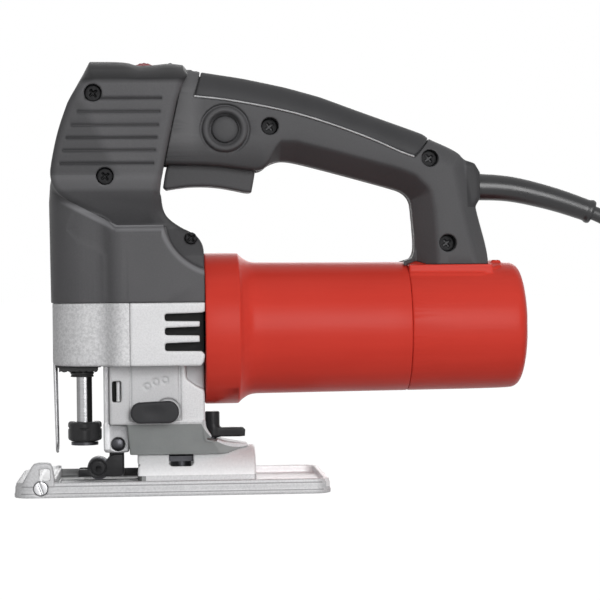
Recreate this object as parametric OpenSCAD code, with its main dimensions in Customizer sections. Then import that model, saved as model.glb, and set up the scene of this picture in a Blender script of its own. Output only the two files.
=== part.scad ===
// Top-handle jigsaw with a tilting sole plate.
// Millimetres. +Z is up, -X is the blade end, the sole plate stands on Z = 0 and Y = 0 is the plane of the blade.
// Body, motor, gearbox, plunger, guide, switch and cord are separate pieces.

/* [Sole plate] */
// Length of the sole plate
plate_len = 148; // [142:1:156]
// Width of the sole plate
plate_w = 76; // [72:1:84]
// Thickness of the sole's web
web_t = 3.5; // [3:0.1:4]
// Height of the sole's rim
rim_h = 7; // [6:0.5:7]
// Thickness of the sole's rim
rim_t = 3; // [2:0.5:5]
// Radius of the sole's plan corners
corner_r = 8; // [4:1:12]
// Width of the opening round the blade
blade_gap_w = 30; // [28:1:32]
// Outer radius of the half-round tilt saddle
saddle_r = 18.7; // [18.4:0.1:19]
// Wall of the tilt saddle
saddle_t = 3.2; // [2.6:0.1:3.6]
// Steepest bevel to either side, in degrees
tilt_max = 45; // [30:1:45]
// Height of the guide bar slot
guide_slot_h = 5.3; // [4.5:0.1:5.6]
// Length of the guide bar slot along the sole
guide_slot_len = 5.1; // [4.5:0.1:5.4]

/* [Body] */
// Wall of the plastic shells
shell_wall = 2.5; // [2:0.1:2.8]
// Width of the head
head_w = 58; // [56:1:60]
// Width of the nose column
nose_w = 49; // [48:1:52]
// Width of the body above the gearbox
body_w = 66; // [64:1:70]
// Width of the handle
grip_w = 35; // [34:1:37]
// Thickness of the soft grip pad
pad_t = 2.2; // [1.8:0.1:2.6]
// Wall of the gearbox castings
case_wall = 3; // [2.5:0.1:3.5]
// Width of the lower gearbox
lower_case_w = 40; // [38:1:41]
// Head diameter of the housing screws
screw_head_d = 8; // [7:0.1:8.4]
// Shank diameter of the housing screws
screw_shank_d = 3.8; // [3:0.1:4.2]

/* [Motor] */
// Outside diameter of the motor tube
tube_d = 63.5; // [62.5:0.5:66]
// Wall of the motor tube
tube_wall = 2.8; // [2.2:0.1:3]
// Diameter of the motor tube's flange
flange_d = 72.7; // [71:0.5:75]
// Thickness of the motor tube's flange
flange_t = 16; // [12:1:18]
// Diameter of the field stack's bore
stator_bore_d = 37; // [36:0.5:38]
// Length of the field stack
stack_len = 44; // [38:1:46]
// Running gap between armature and field
air_gap = 0.8; // [0.5:0.1:1]
// Diameter of the armature shaft
shaft_d = 8; // [7:0.5:8]
// Diameter of the commutator
commutator_d = 22; // [20:0.5:24]
// Diameter of the fan
fan_d = 50; // [44:1:52]
// Outside diameter of both motor bearings
bearing_d = 22; // [20:1:24]
// Length of both motor bearings
bearing_w = 7; // [6:0.5:7]

/* [Gears and plunger] */
// Gear module
gear_module = 0.8; // [0.78:0.01:0.82]
// Teeth of the armature pinion
pinion_teeth = 10; // [10:1:10]
// Teeth of the crank gear
gear_teeth = 46; // [44:1:46]
// Stroke of the plunger
stroke = 20; // [16:1:20]
// Diameter of the plunger rod
rod_d = 7.5; // [7:0.1:8]
// Diameter of the crank pin
crank_pin_d = 6; // [5:0.1:6.5]
// Diameter of the gear axle
axle_d = 7; // [6:0.5:8]
// Diameter of the blade clamp's core
clamp_core_d = 10; // [9.6:0.1:11]
// Height of the blade clamp's turning sleeve
clamp_h = 9.5; // [8:0.5:9.5]
// Thickness of the blade the clamp takes
blade_t = 1.6; // [1.2:0.1:1.8]

/* [Blade guide] */
// Diameter of the blade support roller
roller_d = 11; // [10:0.5:11.5]
// Width of the blade support roller
roller_w = 8; // [6:0.5:8]
// Diameter of the roller's axle
roller_axle_d = 3; // [2.5:0.1:4]
// Diameter of the guide lever's pin
lever_pin_d = 6.2; // [5:0.1:6.6]
// Wire diameter of the finger guard
guard_wire_d = 1.8; // [1.4:0.1:2]

/* [Controls] */
// Travel of the trigger
trigger_travel = 6; // [4:0.5:6]
// Width of the trigger
trigger_w = 16; // [14:0.5:17]
// Diameter of the lock button
lock_d = 12.6; // [11:0.1:13]
// Travel of the lock button
lock_travel = 3; // [2:0.5:3]
// Diameter of the speed dial
dial_d = 16.6; // [16:0.1:17]
// Width of the speed dial
dial_w = 8; // [6:0.5:9]
// Width of the orbital lever across its round end
orbit_w = 10.4; // [9:0.1:11]
// Length of the orbital lever from axis to tip
orbit_len = 18; // [16:0.5:18.4]
// Length of the bevel lever from axis to tip
bevel_lever_len = 15.6; // [13:0.1:16]

/* [Cord] */
// Diameter of the cord
cord_d = 7; // [7:0.1:7.2]
// Diameter of the bend protector at the handle
sleeve_root_d = 13; // [12:0.1:13.4]
// Diameter of the bend protector just before its rim
sleeve_tip_d = 10.7; // [10:0.1:11.4]

/* [Hidden] */
$fn = 64;

// Clearances
run_fit = 0.05;     // radial play of a shaft in its bush
seat_fit = 0.05;    // play of a fixed piece in its seat
slide_gap = 0.3;    // play of a moving piece beside a fixed one
pivot_gap = 0.3;    // the crank pin stops this far from the yoke

// Main stations along X, and heights
front_x = -105.3;   // front of the head
nose_front_x = -104.4;
seam_x = -66.8;     // seam of the two gearbox castings
flange_x = -31.5;   // front of the motor flange
cap_seam_x = 66.5;  // motor tube to end cap
cap_end_x = 126.1;
plate_front_x = -121.2;
plate_rear_x = plate_front_x + plate_len;
case_bottom_z = 60.2;
case_top_z = 90;
ridge_z = 125.3;    // step under the head's upper panel
motor_z = 77;
tilt_z = 2;         // bevel axis above the sole's underside
plunger_x = -89.3;
centre_distance = gear_module * (pinion_teeth + gear_teeth) / 2;
gear_z = motor_z + centre_distance;
crank_r = stroke / 2;

// --- outlines -------------------------------------------------------------
function unit(v) = v / norm(v);
function arc(c, r, a0, a1, n) = [for (i = [0:n]) let (a = a0 + (a1 - a0) * i / n) c + r * [cos(a), sin(a)]];
function inward(p, q) = let (d = unit([q[0] - p[0], q[1] - p[1]])) [-d[1], d[0]];
function mitre(pts, i) = let (
    n = len(pts),
    before = inward(pts[(i + n - 1) % n], pts[i]),
    after = inward(pts[i], pts[(i + 1) % n])
) (before + after) / (1 + before * after);
function inset(pts, t) = [for (i = [0:len(pts) - 1]) [pts[i][0], pts[i][1]] + t * mitre(pts, i)];
function round_ring(pts, t, k) =
    [for (i = [0:len(pts) - 1]) [pts[i][0], pts[i][1]] + (t + k * pts[i][2]) * mitre(pts, i)];

module along_y(y0, y1, pts) translate([0, y1, 0]) rotate([90, 0, 0]) linear_extrude(y1 - y0) polygon(pts);
module along_x(x0, x1) translate([x0, 0, 0]) rotate([90, 0, 90]) linear_extrude(x1 - x0) children();
module box(low, high) translate(low) cube(high - low);
module rod_x(x0, x1, d, y, z) translate([x0, y, z]) rotate([0, 90, 0]) cylinder(h = x1 - x0, d = d);
module rod_y(y0, y1, d, x, z) translate([x, y1, z]) rotate([90, 0, 0]) cylinder(h = y1 - y0, d = d);
module turned_x(z) translate([0, 0, z]) rotate([0, 90, 0]) rotate_extrude() children();

// A slab across Y whose rim is rounded: each outline point is [x, z, depth of its rounding].
// It is made a little too wide and then cut to its flats.
slab_over = 0.2;
module rounded_slab(pts, half_w, round_w, t) {
    turns = [22.5, 45, 67.5, 90];
    over_depth = 1 + slab_over * sin(turns[0]) / (round_w * (1 - cos(turns[0])));
    near = concat(
        [[-(half_w - t) - slab_over, over_depth]],
        [for (a = turns) [-(half_w - t) + round_w * (1 - cos(a)), 1 - sin(a)]]
    );
    rings = concat(near, [for (i = [len(near) - 1:-1:0]) [-near[i][0], near[i][1]]]);
    n = len(pts);
    m = len(rings);
    intersection() {
        polyhedron(
            points = [for (r = rings) each [for (p = round_ring(pts, t, r[1])) [p[0], r[0], p[1]]]],
            faces = concat(
                [[for (i = [n - 1:-1:0]) i]],
                [[for (i = [0:n - 1]) (m - 1) * n + i]],
                [for (k = [0:m - 2]) for (i = [0:n - 1]) let (j = (i + 1) % n)
                    [k * n + i, k * n + j, (k + 1) * n + j, (k + 1) * n + i]]
            )
        );
        box([-200, -(half_w - t), 40], [200, half_w - t, 240]);
    }
}

// A round bar swept along points; side is a direction that no stretch of the route runs along.
function bar_ring(c, along, r, sides, side) =
    let (u = unit(cross(along, side)), v = cross(unit(along), u))
    [for (i = [0:sides - 1]) let (a = 360 * i / sides) c + r * (cos(a) * u + sin(a) * v)];
module swept_bar(path, radii, sides, side) {
    m = len(path);
    ways = [for (i = [0:m - 1]) path[min(i + 1, m - 1)] - path[max(i - 1, 0)]];
    polyhedron(
        points = [for (i = [0:m - 1]) each bar_ring(path[i], ways[i], radii[i], sides, side)],
        faces = concat(
            [[for (i = [0:sides - 1]) i]],
            [[for (i = [sides - 1:-1:0]) (m - 1) * sides + i]],
            [for (k = [0:m - 2]) for (i = [0:sides - 1]) let (j = (i + 1) % sides)
                [k * sides + i, (k + 1) * sides + i, (k + 1) * sides + j, k * sides + j]]
        )
    );
}

// --- head and handle ------------------------------------------------------
head_top = [
    [-82.6, 205.6, 3.5], [-85.6, 202.6, 3.5], [-88.7, 195.3, 5], [-93.7, 183.7, 5], [-98.6, 170.8, 5],
    [-101.8, 157.5, 5], [-102.9, 149.2, 4]
];
head_upper = concat(
    [[-98.6, 141.5, 1], [-91, 136, 1], [-84, 132.9, 1], [-77.8, 129.9, 1], [-73.2, 125.8, 1], [-52.4, 125.8, 1]],
    [[-51.8, 146, 2], [-49.9, 154.8, 2], [-40.1, 194.6, 2]],
    [[-37.6, 201, 2], [-42.5, 204.2, 4], [-48.8, 204.5, 5], [-55.1, 203.8, 5], [-62.7, 203.6, 5], [-67.5, 205.5, 5]],
    head_top
);
// The wide body below the ledge, and the narrower core in it, which runs up into the upper panel
body_side = [
    [front_x, case_top_z], [flange_x, case_top_z], [flange_x, 105.1], [-41.1, 110.3], [-47.1, 117.4],
    [-49.6, ridge_z], [-73.2, ridge_z], [-77.8, 129.9], [-84, 132.9], [-91, 136], [-97.6, 139], [-102.7, 149.2],
    [-104.9, 130]
];
core_side = [
    [front_x, case_top_z], [flange_x, case_top_z], [flange_x, 113.5], [-34, 118.7], [-40.6, 123.7],
    [-47.7, 129.2], [-50.4, 133], [-51.8, 140], [-102.9, 149.2], [-104.9, 130]
];
nose_plan = concat(
    [[-70, -nose_w / 2], [-70, nose_w / 2]],
    arc([front_x + 21, nose_w / 2 - 21], 21, 90, 180, 6),
    arc([front_x + 21, -(nose_w / 2 - 21)], 21, 180, 270, 6)
);
body_front_x = -77;
core_w = 56;
body_plan = concat(
    [[flange_x, -body_w / 2], [flange_x, body_w / 2]],
    arc([body_front_x + 7, body_w / 2 - 7], 7, 90, 180, 4),
    arc([body_front_x + 7, -(body_w / 2 - 7)], 7, 180, 270, 4)
);
handle_side = [
    [-49.6, 155.6, 2], [-27, 155.3, 2], [-7.4, 152.4, 2], [-3.2, 152.6, 2], [0.7, 156, 3], [5.9, 157.4, 6],
    [12, 156.8, 8], [25, 153.5, 8], [42.2, 148.8, 8], [59.7, 143.9, 8], [64.9, 142.1, 8], [68.4, 138.4, 8],
    [69.2, 132.4, 8], [70.8, 113.4, 8], [69.2, 109.9, 2], [64.8, 108.9, 2], [64.8, 98, 2], [104.2, 98, 2],
    [107.6, 108.6, 4], [101.4, 133.6, 4], [103.2, 136.4, 2], [103, 150.6, 2], [100.6, 156.2, 2],
    [94.6, 158.2, 2], [91.8, 162.1, 2], [85.9, 164.9, 4], [78.4, 168.1, 4], [74.7, 170.8, 5], [60, 176.4, 6],
    [42.5, 182.1, 6], [25.4, 188.7, 6], [8.1, 193.5, 6], [-12.7, 197.5, 6], [-29.8, 199.7, 5],
    [-35.4, 200.6, 3], [-40, 194.6, 2]
];
pad_region = [
    [-35.3, 187.6], [-20.3, 185.9], [-1.6, 182.6], [15.4, 178.6], [32.3, 173.2], [49.5, 166.7],
    [63.2, 160.6], [69.6, 158.3], [72, 160.4], [79.2, 169.2], [82, 182], [10, 215], [-30, 215], [-31.8, 199]
];
grip_round = 9;
head_round = 10;

module head_solid(t) {
    rounded_slab(head_upper, head_w / 2, head_round, t);
    intersection() {
        union() {
            along_y(-body_w / 2, body_w / 2, inset(body_side, t));
            along_y(-core_w / 2 + t, core_w / 2 - t, inset(core_side, t));
        }
        translate([0, 0, case_top_z - 1]) linear_extrude(61) union() {
            polygon(inset(nose_plan, t));
            polygon(inset(body_plan, t));
        }
    }
}
module handle_solid() {
    difference() {
        rounded_slab(handle_side, grip_w / 2, grip_round, 0);
        foot_seat(0);
    }
}
// The handle's foot sits on the round end cap
module foot_seat(t)
    rod_x(cap_seam_x - 4, cap_end_x, 2 * cap_r(cap_seam_x) + 2 * seat_fit + 2 * t, 0, motor_z);
module handle_core(t) along_y(-grip_w / 2 + t, grip_w / 2 - t, inset(handle_side, t));
module pad_zone() along_y(-grip_w / 2 - 1, grip_w / 2 + 1, pad_region);

// side is -1 on the left of the tool and +1 on the right
module half_space(side) box([-200, side < 0 ? -60 : 0, 40], [200, side < 0 ? 0 : 60, 240]);

// Housing screws: [x, z, half width of the shell there]
head_screws = [[-82.8, 188.5, head_w / 2], [-77.6, 149.5, head_w / 2], [-37.6, 120.2, core_w / 2]];
handle_screws = [[0.6, 173.3, grip_w / 2], [77.2, 157.6, grip_w / 2], [85.4, 116.9, grip_w / 2]];
screw_head_h = 3;
screw_inset = 3.4;  // depth of the recess that hides a screw head
post_d = screw_head_d + 2;

module screw_posts(screws, side) for (s = screws)
    rod_y(side < 0 ? -s[2] + 0.5 : 0, side < 0 ? 0 : s[2] - 1, post_d, s[0], s[1]);
module screw_holes(screws) for (s = screws) {
    rod_y(-s[2] - 1, s[2] - 4, screw_shank_d + 2 * seat_fit, s[0], s[1]);
    rod_y(-s[2] - 1, -s[2] + screw_inset + screw_head_h, screw_head_d + 2 * seat_fit, s[0], s[1]);
}
module trigger_way() box([-50.9, -trigger_w / 2 - slide_gap, 130], [-5.4, trigger_w / 2 + slide_gap, 169]);

module head_half(side) {
    difference() {
        intersection() {
            head_solid(0);
            half_space(side);
        }
        difference() {
            head_solid(shell_wall);
            screw_posts(head_screws, side);
        }
        // open underneath, where the gearbox enters
        box([nose_front_x + case_wall, -22, 80], [-70, 22, case_top_z + 6]);
        box([-74, -28, 80], [flange_x - 2, 28, case_top_z + 6]);
        screw_holes(head_screws);
        trigger_way();
        dial_window();
        air_slots();
    }
}
// Ribbed panel: grooves across the side of the head
rib_z = [189.8, 186.9, 180.6, 174.3, 168.4, 162.6, 156.4];
module air_slots() for (i = [1:len(rib_z) - 1]) for (s = [-1, 1])
    box([-89 - 1.6 * i, s < 0 ? -40 : head_w / 2 - 0.8, rib_z[i] - 0.6],
        [-52, s < 0 ? -head_w / 2 + 0.8 : 40, rib_z[i] + 0.6]);
module left_head_shell() color([0.29, 0.3, 0.31]) head_half(-1);
module right_head_shell() color([0.29, 0.3, 0.31]) head_half(1);

switch_x = [-36, -5];
switch_z = [170, 186];
switch_w = 16;
lock_x = -21.4;
lock_z = 172.3;
lock_collar_d = lock_d + 3;
// The left half; the right one is its mirror image
module handle_shape() difference() {
    intersection() {
        handle_solid();
        half_space(-1);
    }
    difference() {
        pad_zone();
        handle_core(pad_t);
    }
    difference() {
        handle_core(pad_t + shell_wall);
        foot_seat(shell_wall);
        screw_posts(handle_screws, -1);
        switch_ribs();
        clamp_ribs();
    }
    trigger_way();
    sleeve_seat();
}
module handle_half(side) difference() {
    union() {
        mirror([0, side < 0 ? 0 : 1, 0]) handle_shape();
        if (side < 0) lock_ring();
    }
    screw_holes(handle_screws);
    if (side < 0) lock_way();
}
module switch_ribs() for (x = [switch_x[0] + 1, switch_x[1] - 4])
    box([x, -grip_w / 2 + 2, switch_z[0]], [x + 3, -switch_w / 2 - seat_fit, switch_z[1] + 6]);
module lock_ring() difference() {
    rod_y(-grip_w / 2 - 0.8, -grip_w / 2 + 1, 22.6, lock_x, lock_z);
    rod_y(-grip_w / 2 - 1, -grip_w / 2 + 1.2, 15, lock_x, lock_z);
}
module lock_way() {
    rod_y(-grip_w, -switch_w / 2 - 0.5, lock_d + 2 * run_fit, lock_x, lock_z);
    rod_y(-grip_w / 2 + shell_wall, -switch_w / 2 - 0.5, lock_collar_d + 1, lock_x, lock_z);
}
module left_handle_shell() color([0.27, 0.28, 0.29]) handle_half(-1);
module right_handle_shell() color([0.27, 0.28, 0.29]) handle_half(1);

module grip_pad() color([0.2, 0.2, 0.21]) difference() {
    intersection() {
        handle_solid();
        pad_zone();
    }
    handle_core(pad_t);
    screw_holes(handle_screws);
}

module housing_screw(s) {
    top = -s[2] + screw_inset;
    difference() {
        union() {
            rod_y(top, top + screw_head_h, screw_head_d, s[0], s[1]);
            rod_y(top, s[2] - 6, screw_shank_d, s[0], s[1]);
        }
        for (a = [0, 90]) translate([s[0], top, s[1]]) rotate([0, a + 45, 0])
            cube([4.6, 3, 0.9], center = true);
    }
}
module housing_screws() color([0.12, 0.12, 0.13]) for (s = concat(head_screws, handle_screws)) housing_screw(s);

// --- motor ----------------------------------------------------------------
tube_r = tube_d / 2;
tube_draft = 0.6;   // the tube narrows by this radius to the end cap
tube_bore_r = tube_r - tube_wall - 0.35;
function cap_r(x) = tube_r - tube_draft - 0.5 * (x - cap_seam_x) / (cap_end_x - cap_seam_x);

module motor_tube() color([0.78, 0.2, 0.18]) turned_x(motor_z) polygon(concat(
    [[tube_bore_r, flange_x], [flange_d / 2 - 0.8, flange_x], [flange_d / 2, flange_x + 0.8],
     [flange_d / 2, flange_x + flange_t - 1]],
    [for (a = [0:15:90]) [flange_d / 2 - (flange_d / 2 - tube_r) * sin(a), flange_x + flange_t + 6.5 * (1 - cos(a))]],
    [[tube_r - tube_draft, cap_seam_x], [tube_bore_r, cap_seam_x]]
));

cap_bearing_x = cap_end_x - 25;
cap_turn_x = cap_end_x - 7.3;   // where the cap's side turns in to its end
module motor_end_cap() color([0.78, 0.2, 0.18]) difference() {
    union() {
        turned_x(motor_z) polygon([
            [tube_bore_r, cap_seam_x], [cap_r(cap_seam_x), cap_seam_x], [cap_r(cap_turn_x), cap_turn_x],
            [cap_r(cap_turn_x) - 3.4, cap_end_x - 2.9], [14, cap_end_x - 0.6], [0, cap_end_x],
            [0, cap_bearing_x + bearing_w + 2], [bearing_d / 2 + seat_fit, cap_bearing_x + bearing_w + 2],
            [bearing_d / 2 + seat_fit, cap_bearing_x], [bearing_d / 2 + 2.5, cap_bearing_x],
            [bearing_d / 2 + 2.5, cap_end_x - 7], [tube_bore_r - 1, cap_end_x - 10]
        ]);
        rest_lug();
    }
    for (s = [-1, 1]) rod_x(cap_end_x - 6, cap_end_x, screw_head_d + 2 * seat_fit, s * end_screw_y, motor_z);
    for (s = [-1, 1]) rod_x(cap_end_x - 20, cap_end_x, screw_shank_d + 2 * seat_fit, s * end_screw_y, motor_z);
}
// Small rest behind the handle's foot
rest_x = [108.2, 112.6];
module rest_lug() intersection() {
    box([rest_x[0], -8, motor_z + 20], [rest_x[1], 8, motor_z + tube_r]);
    rod_x(rest_x[0], rest_x[1], tube_d + 6, 0, motor_z);
}
end_screw_y = 20;
module end_cap_screws() color([0.12, 0.12, 0.13]) for (s = [-1, 1]) difference() {
    union() {
        rod_x(cap_end_x - 6, cap_end_x - 3, screw_head_d, s * end_screw_y, motor_z);
        rod_x(cap_end_x - 16, cap_end_x - 3, screw_shank_d, s * end_screw_y, motor_z);
    }
    for (a = [0, 90]) translate([cap_end_x - 3, s * end_screw_y, motor_z]) rotate([a + 45, 0, 0])
        cube([3, 4.6, 0.9], center = true);
}

stack_x = -2;
module field_stator() color([0.5, 0.5, 0.52]) {
    difference() {
        rod_x(stack_x, stack_x + stack_len, 2 * tube_bore_r - 2 * seat_fit, 0, motor_z);
        rod_x(stack_x - 1, stack_x + stack_len + 1, stator_bore_d, 0, motor_z);
    }
}
core_d = stator_bore_d - 2 * air_gap;
module shaft_bore(x0, x1) rod_x(x0, x1, shaft_d - 0.01, 0, motor_z);
module armature_core() color([0.55, 0.33, 0.2]) difference() {
    union() {
        rod_x(stack_x, stack_x + stack_len, core_d, 0, motor_z);
        rod_x(stack_x - 8, stack_x + stack_len + 8, core_d - 6, 0, motor_z);
    }
    rod_x(stack_x - 20, stack_x + stack_len + 20, shaft_d, 0, motor_z);
    for (a = [0:30:330]) translate([stack_x - 1, 0, motor_z]) rotate([a, 0, 0])
        translate([0, core_d / 2 - 2, -0.8]) cube([stack_len + 2, 3, 1.6]);
}
commutator_x = 57;
commutator_len = 16;
module commutator() color([0.72, 0.45, 0.2]) difference() {
    rod_x(commutator_x, commutator_x + commutator_len, commutator_d, 0, motor_z);
    rod_x(commutator_x - 1, commutator_x + commutator_len + 1, shaft_d, 0, motor_z);
    for (a = [0:30:330]) translate([commutator_x - 1, 0, motor_z]) rotate([a, 0, 0])
        translate([0, commutator_d / 2 - 0.7, -0.25]) cube([commutator_len + 2, 2, 0.5]);
}
fan_x = -25;
module fan() color([0.2, 0.2, 0.2]) difference() {
    union() {
        rod_x(fan_x + 9, fan_x + 11, fan_d, 0, motor_z);
        rod_x(fan_x, fan_x + 11, shaft_d + 8, 0, motor_z);
        for (a = [0:30:330]) translate([fan_x, 0, motor_z]) rotate([a, 0, 0])
            translate([0, shaft_d / 2 + 2, -0.75]) cube([9.5, fan_d / 2 - shaft_d / 2 - 2.5, 1.5]);
    }
    rod_x(fan_x - 1, fan_x + 12, shaft_d, 0, motor_z);
}
bearing_x = -46.5;
module bearing(x) difference() {
    rod_x(x, x + bearing_w, bearing_d, 0, motor_z);
    rod_x(x - 1, x + bearing_w + 1, shaft_d + 2 * run_fit, 0, motor_z);
    difference() {
        rod_x(x - 0.01, x + 0.8, bearing_d - 4, 0, motor_z);
        rod_x(x - 0.1, x + 1, shaft_d + 4, 0, motor_z);
    }
}
module front_bearing() color([0.75, 0.76, 0.78]) bearing(bearing_x);
module rear_bearing() color([0.75, 0.76, 0.78]) bearing(cap_bearing_x);

// Brushes stand across the commutator along Y
brush_size = 6;
brush_gap = 0.3;
brush_len = 9;
brush_in_y = commutator_d / 2 + brush_gap;
holder_in_y = brush_in_y + 1.5;
brush_x = commutator_x + commutator_len / 2;
module across(y0, y1, size) for (s = [-1, 1])
    translate([brush_x, s * (y0 + y1) / 2, motor_z]) cube([size, y1 - y0, size], center = true);
module brush_holders() color([0.76, 0.6, 0.3]) difference() {
    across(holder_in_y, tube_bore_r - 0.9, brush_size + 3);
    across(holder_in_y - 1, tube_bore_r - 2.4, brush_size + 2 * seat_fit);
}
module carbon_brushes() color([0.16, 0.16, 0.17]) across(brush_in_y, brush_in_y + brush_len, brush_size);
module brush_springs() color([0.7, 0.7, 0.72]) {
    y0 = brush_in_y + brush_len + 0.3;
    y1 = tube_bore_r - 2.7;
    for (s = [-1, 1]) swept_bar(
        [for (i = [0:32]) [brush_x + 2 * cos(45 * i), s * (y0 + (y1 - y0) * i / 32), motor_z + 2 * sin(45 * i)]],
        [for (i = [0:32]) 0.3], 6, [0, 1, 0]);
}

// --- gears ----------------------------------------------------------------
pressure = 25;
addendum = 0.8;     // in modules
dedendum = 1;       // in modules
backlash = 0.12;
function inv(a) = tan(a) * 180 / PI - a;
// Polar angle, from the tooth's centre line, of the flank at radius r
function flank_angle(teeth, r) = let (
    pitch_r = gear_module * teeth / 2,
    base_r = pitch_r * cos(pressure),
    a = r > base_r ? acos(base_r / r) : 0
) 90 / teeth - backlash / pitch_r * 90 / PI + inv(pressure) - inv(a);
function tooth(teeth, turn) = let (
    pitch_r = gear_module * teeth / 2,
    root_r = pitch_r - dedendum * gear_module,
    tip_r = pitch_r + addendum * gear_module,
    steps = [root_r, max(root_r, pitch_r * cos(pressure)), pitch_r, tip_r],
    up = [for (r = steps) [r, -flank_angle(teeth, r)]],
    down = [for (i = [3:-1:0]) [steps[i], flank_angle(teeth, steps[i])]]
) [for (p = concat(up, down)) p[0] * [cos(p[1] + turn), sin(p[1] + turn)]];
module toothed(teeth, x0, x1, z, turn) translate([x0, 0, z]) rotate([0, 90, 0]) linear_extrude(x1 - x0) {
    root_r = gear_module * teeth / 2 - dedendum * gear_module;
    circle(r = root_r + 0.02);
    for (i = [0:teeth - 1]) polygon(tooth(teeth, turn + 360 * i / teeth));
}
gear_x = -62;
gear_w = 8;
// rotate([0, 90, 0]) turns the outline's +X to -Z: the gear's first tooth points down at the pinion
module crank_gear() color([0.6, 0.6, 0.62]) difference() {
    toothed(gear_teeth, gear_x, gear_x + gear_w, gear_z, 0);
    rod_x(gear_x - 1, gear_x + gear_w + 1, axle_d + 2 * run_fit, 0, gear_z);
    rod_x(gear_x - 1, gear_x + gear_w + 1, crank_pin_d, 0, gear_z - crank_r);
    for (a = [60, 120, 240, 300]) rotate_about_x(gear_z, a)
        rod_x(gear_x - 1, gear_x + gear_w + 1, 6, 0, gear_z - 11);
}
module rotate_about_x(z, a) translate([0, 0, z]) rotate([a, 0, 0]) translate([0, 0, -z]) children();
module gear_axle() color([0.75, 0.76, 0.78]) {
    rod_x(gear_x, bearing_plate_x[1], axle_d, 0, gear_z);
    rod_x(gear_x - 1.5, gear_x - slide_gap, axle_d + 2, 0, gear_z);
    rod_x(gear_x - slide_gap - 0.2, gear_x + 0.2, axle_d, 0, gear_z);
}
yoke_rear_x = -77;
module crank_pin() color([0.8, 0.8, 0.82])
    rod_x(yoke_rear_x + pivot_gap, gear_x + gear_w - 0.5, crank_pin_d, 0, gear_z - crank_r);
module armature_shaft() color([0.72, 0.73, 0.75]) {
    rod_x(-52, cap_bearing_x + bearing_w, shaft_d, 0, motor_z);
    rod_x(gear_x + gear_w - 0.1, -51.9, 5.6, 0, motor_z);
    // half a tooth round, so that a gap faces the gear's first tooth
    toothed(pinion_teeth, gear_x - 1, gear_x + gear_w + 1, motor_z, 180 + 180 / pinion_teeth);
}

// --- gearbox castings -----------------------------------------------------
bearing_plate_x = [bearing_x, bearing_x + bearing_w];
lower_front_x = -77;
lower_rear_x = -31.8;
lower_bottom_z = 32;
lower_half = lower_case_w / 2;
orbit_x = -49.3;
orbit_z = 38.3;
orbit_shaft_d = 8;
tail_top_z = tilt_z + saddle_r + 3.6;
bolt_x = -43.2;     // bevel bolt and its slot in the saddle
stud_x = -27.8;     // stud of the bevel lever
bolt_d = 6;
stud_d = 4;
saddle_gap = 0.3;   // the foot rides this far above the saddle

module case_plan(t) polygon(inset(body_plan, t));
module foot_side() along_y(-40, 40, [
    [-68.9, lower_bottom_z + 2], [-67.4, 15], [-17, 15], [-17, tail_top_z - 1.4], [-20, tail_top_z],
    [lower_rear_x + 0.2, tail_top_z], [lower_rear_x, lower_bottom_z + 2]
]);
module foot() difference() {
    intersection() {
        foot_side();
        along_x(-70, -16) polygon([
            [-lower_half, lower_bottom_z + 2], [-11.3, 17], [11.3, 17], [lower_half, lower_bottom_z + 2]]);
    }
    rod_x(-80, 0, 2 * (saddle_r + saddle_gap), 0, tilt_z);
    rod_z(stud_x, 0, 60, stud_d + 2 * seat_fit);
    rod_z(bolt_x, 0, lower_bottom_z + 5, bolt_d + 2 * seat_fit);
}
module rod_z(x, z0, z1, d) translate([x, 0, z0]) cylinder(h = z1 - z0, d = d);
module lower_case() difference() {
    union() {
        box([lower_front_x, -lower_half, lower_bottom_z], [lower_rear_x, lower_half, case_bottom_z]);
        box([seam_x, -lower_half, lower_bottom_z], [lower_rear_x, lower_half, case_bottom_z + 0.5]);
    }
    // follower chamber and the window in front of it
    box([-72, -lower_half + case_wall, lower_bottom_z + 4], [-36, lower_half - case_wall, case_bottom_z + 1]);
    box([-76.6, -30, 42.4], [-70.9, 30, 51.6]);
    rod_y(-30, 30, orbit_shaft_d + 2 * run_fit, orbit_x, orbit_z);
    rod_z(bolt_x, 0, lower_bottom_z + 5, bolt_d + 2 * seat_fit);
}
vent_x = [-50.3, -35.6];
vent_z = [[81.4, 85], [74.8, 78.6], [67.4, 71.6]];
module bearing_plate() difference() {
    along_x(bearing_plate_x[0], bearing_plate_x[1]) {
        translate([-24.5, case_bottom_z]) square([49, gear_z - case_bottom_z]);
        translate([0, gear_z]) circle(d = 26);
    }
    rod_x(-60, -30, bearing_d + 2 * seat_fit, 0, motor_z);
    rod_x(-60, -30, axle_d, 0, gear_z);
    gear_screw_holes();
}
gear_screws = [[20, 68], [-20, 68], [20, 88], [-20, 88]];
module gear_screw_holes() for (p = gear_screws) rod_x(-60, -20, screw_shank_d + 2 * seat_fit, p[0], p[1]);
module gear_case() color([0.82, 0.82, 0.83]) {
    difference() {
        translate([0, 0, case_bottom_z]) linear_extrude(case_top_z - case_bottom_z) case_plan(0);
        translate([0, 0, case_bottom_z + case_wall]) linear_extrude(60) case_plan(case_wall);
        box([-120, -50, 50], [seam_x, 50, 120]);
        box([-60, -lower_half + case_wall, 50], [-52, lower_half - case_wall, 66]);
        for (v = vent_z) box([vent_x[0], -40, v[0]], [vent_x[1], 40, v[1]]);
        rod_x(-40, -20, 2 * tube_bore_r, 0, motor_z);
    }
    bearing_plate();
    lower_case();
    foot();
}
module gear_case_screws() color([0.7, 0.7, 0.72]) for (p = gear_screws) {
    rod_x(bearing_plate_x[0] - 3, bearing_plate_x[0], screw_head_d - 1, p[0], p[1]);
    rod_x(bearing_plate_x[0] - 1, bearing_plate_x[1] + 2, screw_shank_d, p[0], p[1]);
}

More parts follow.
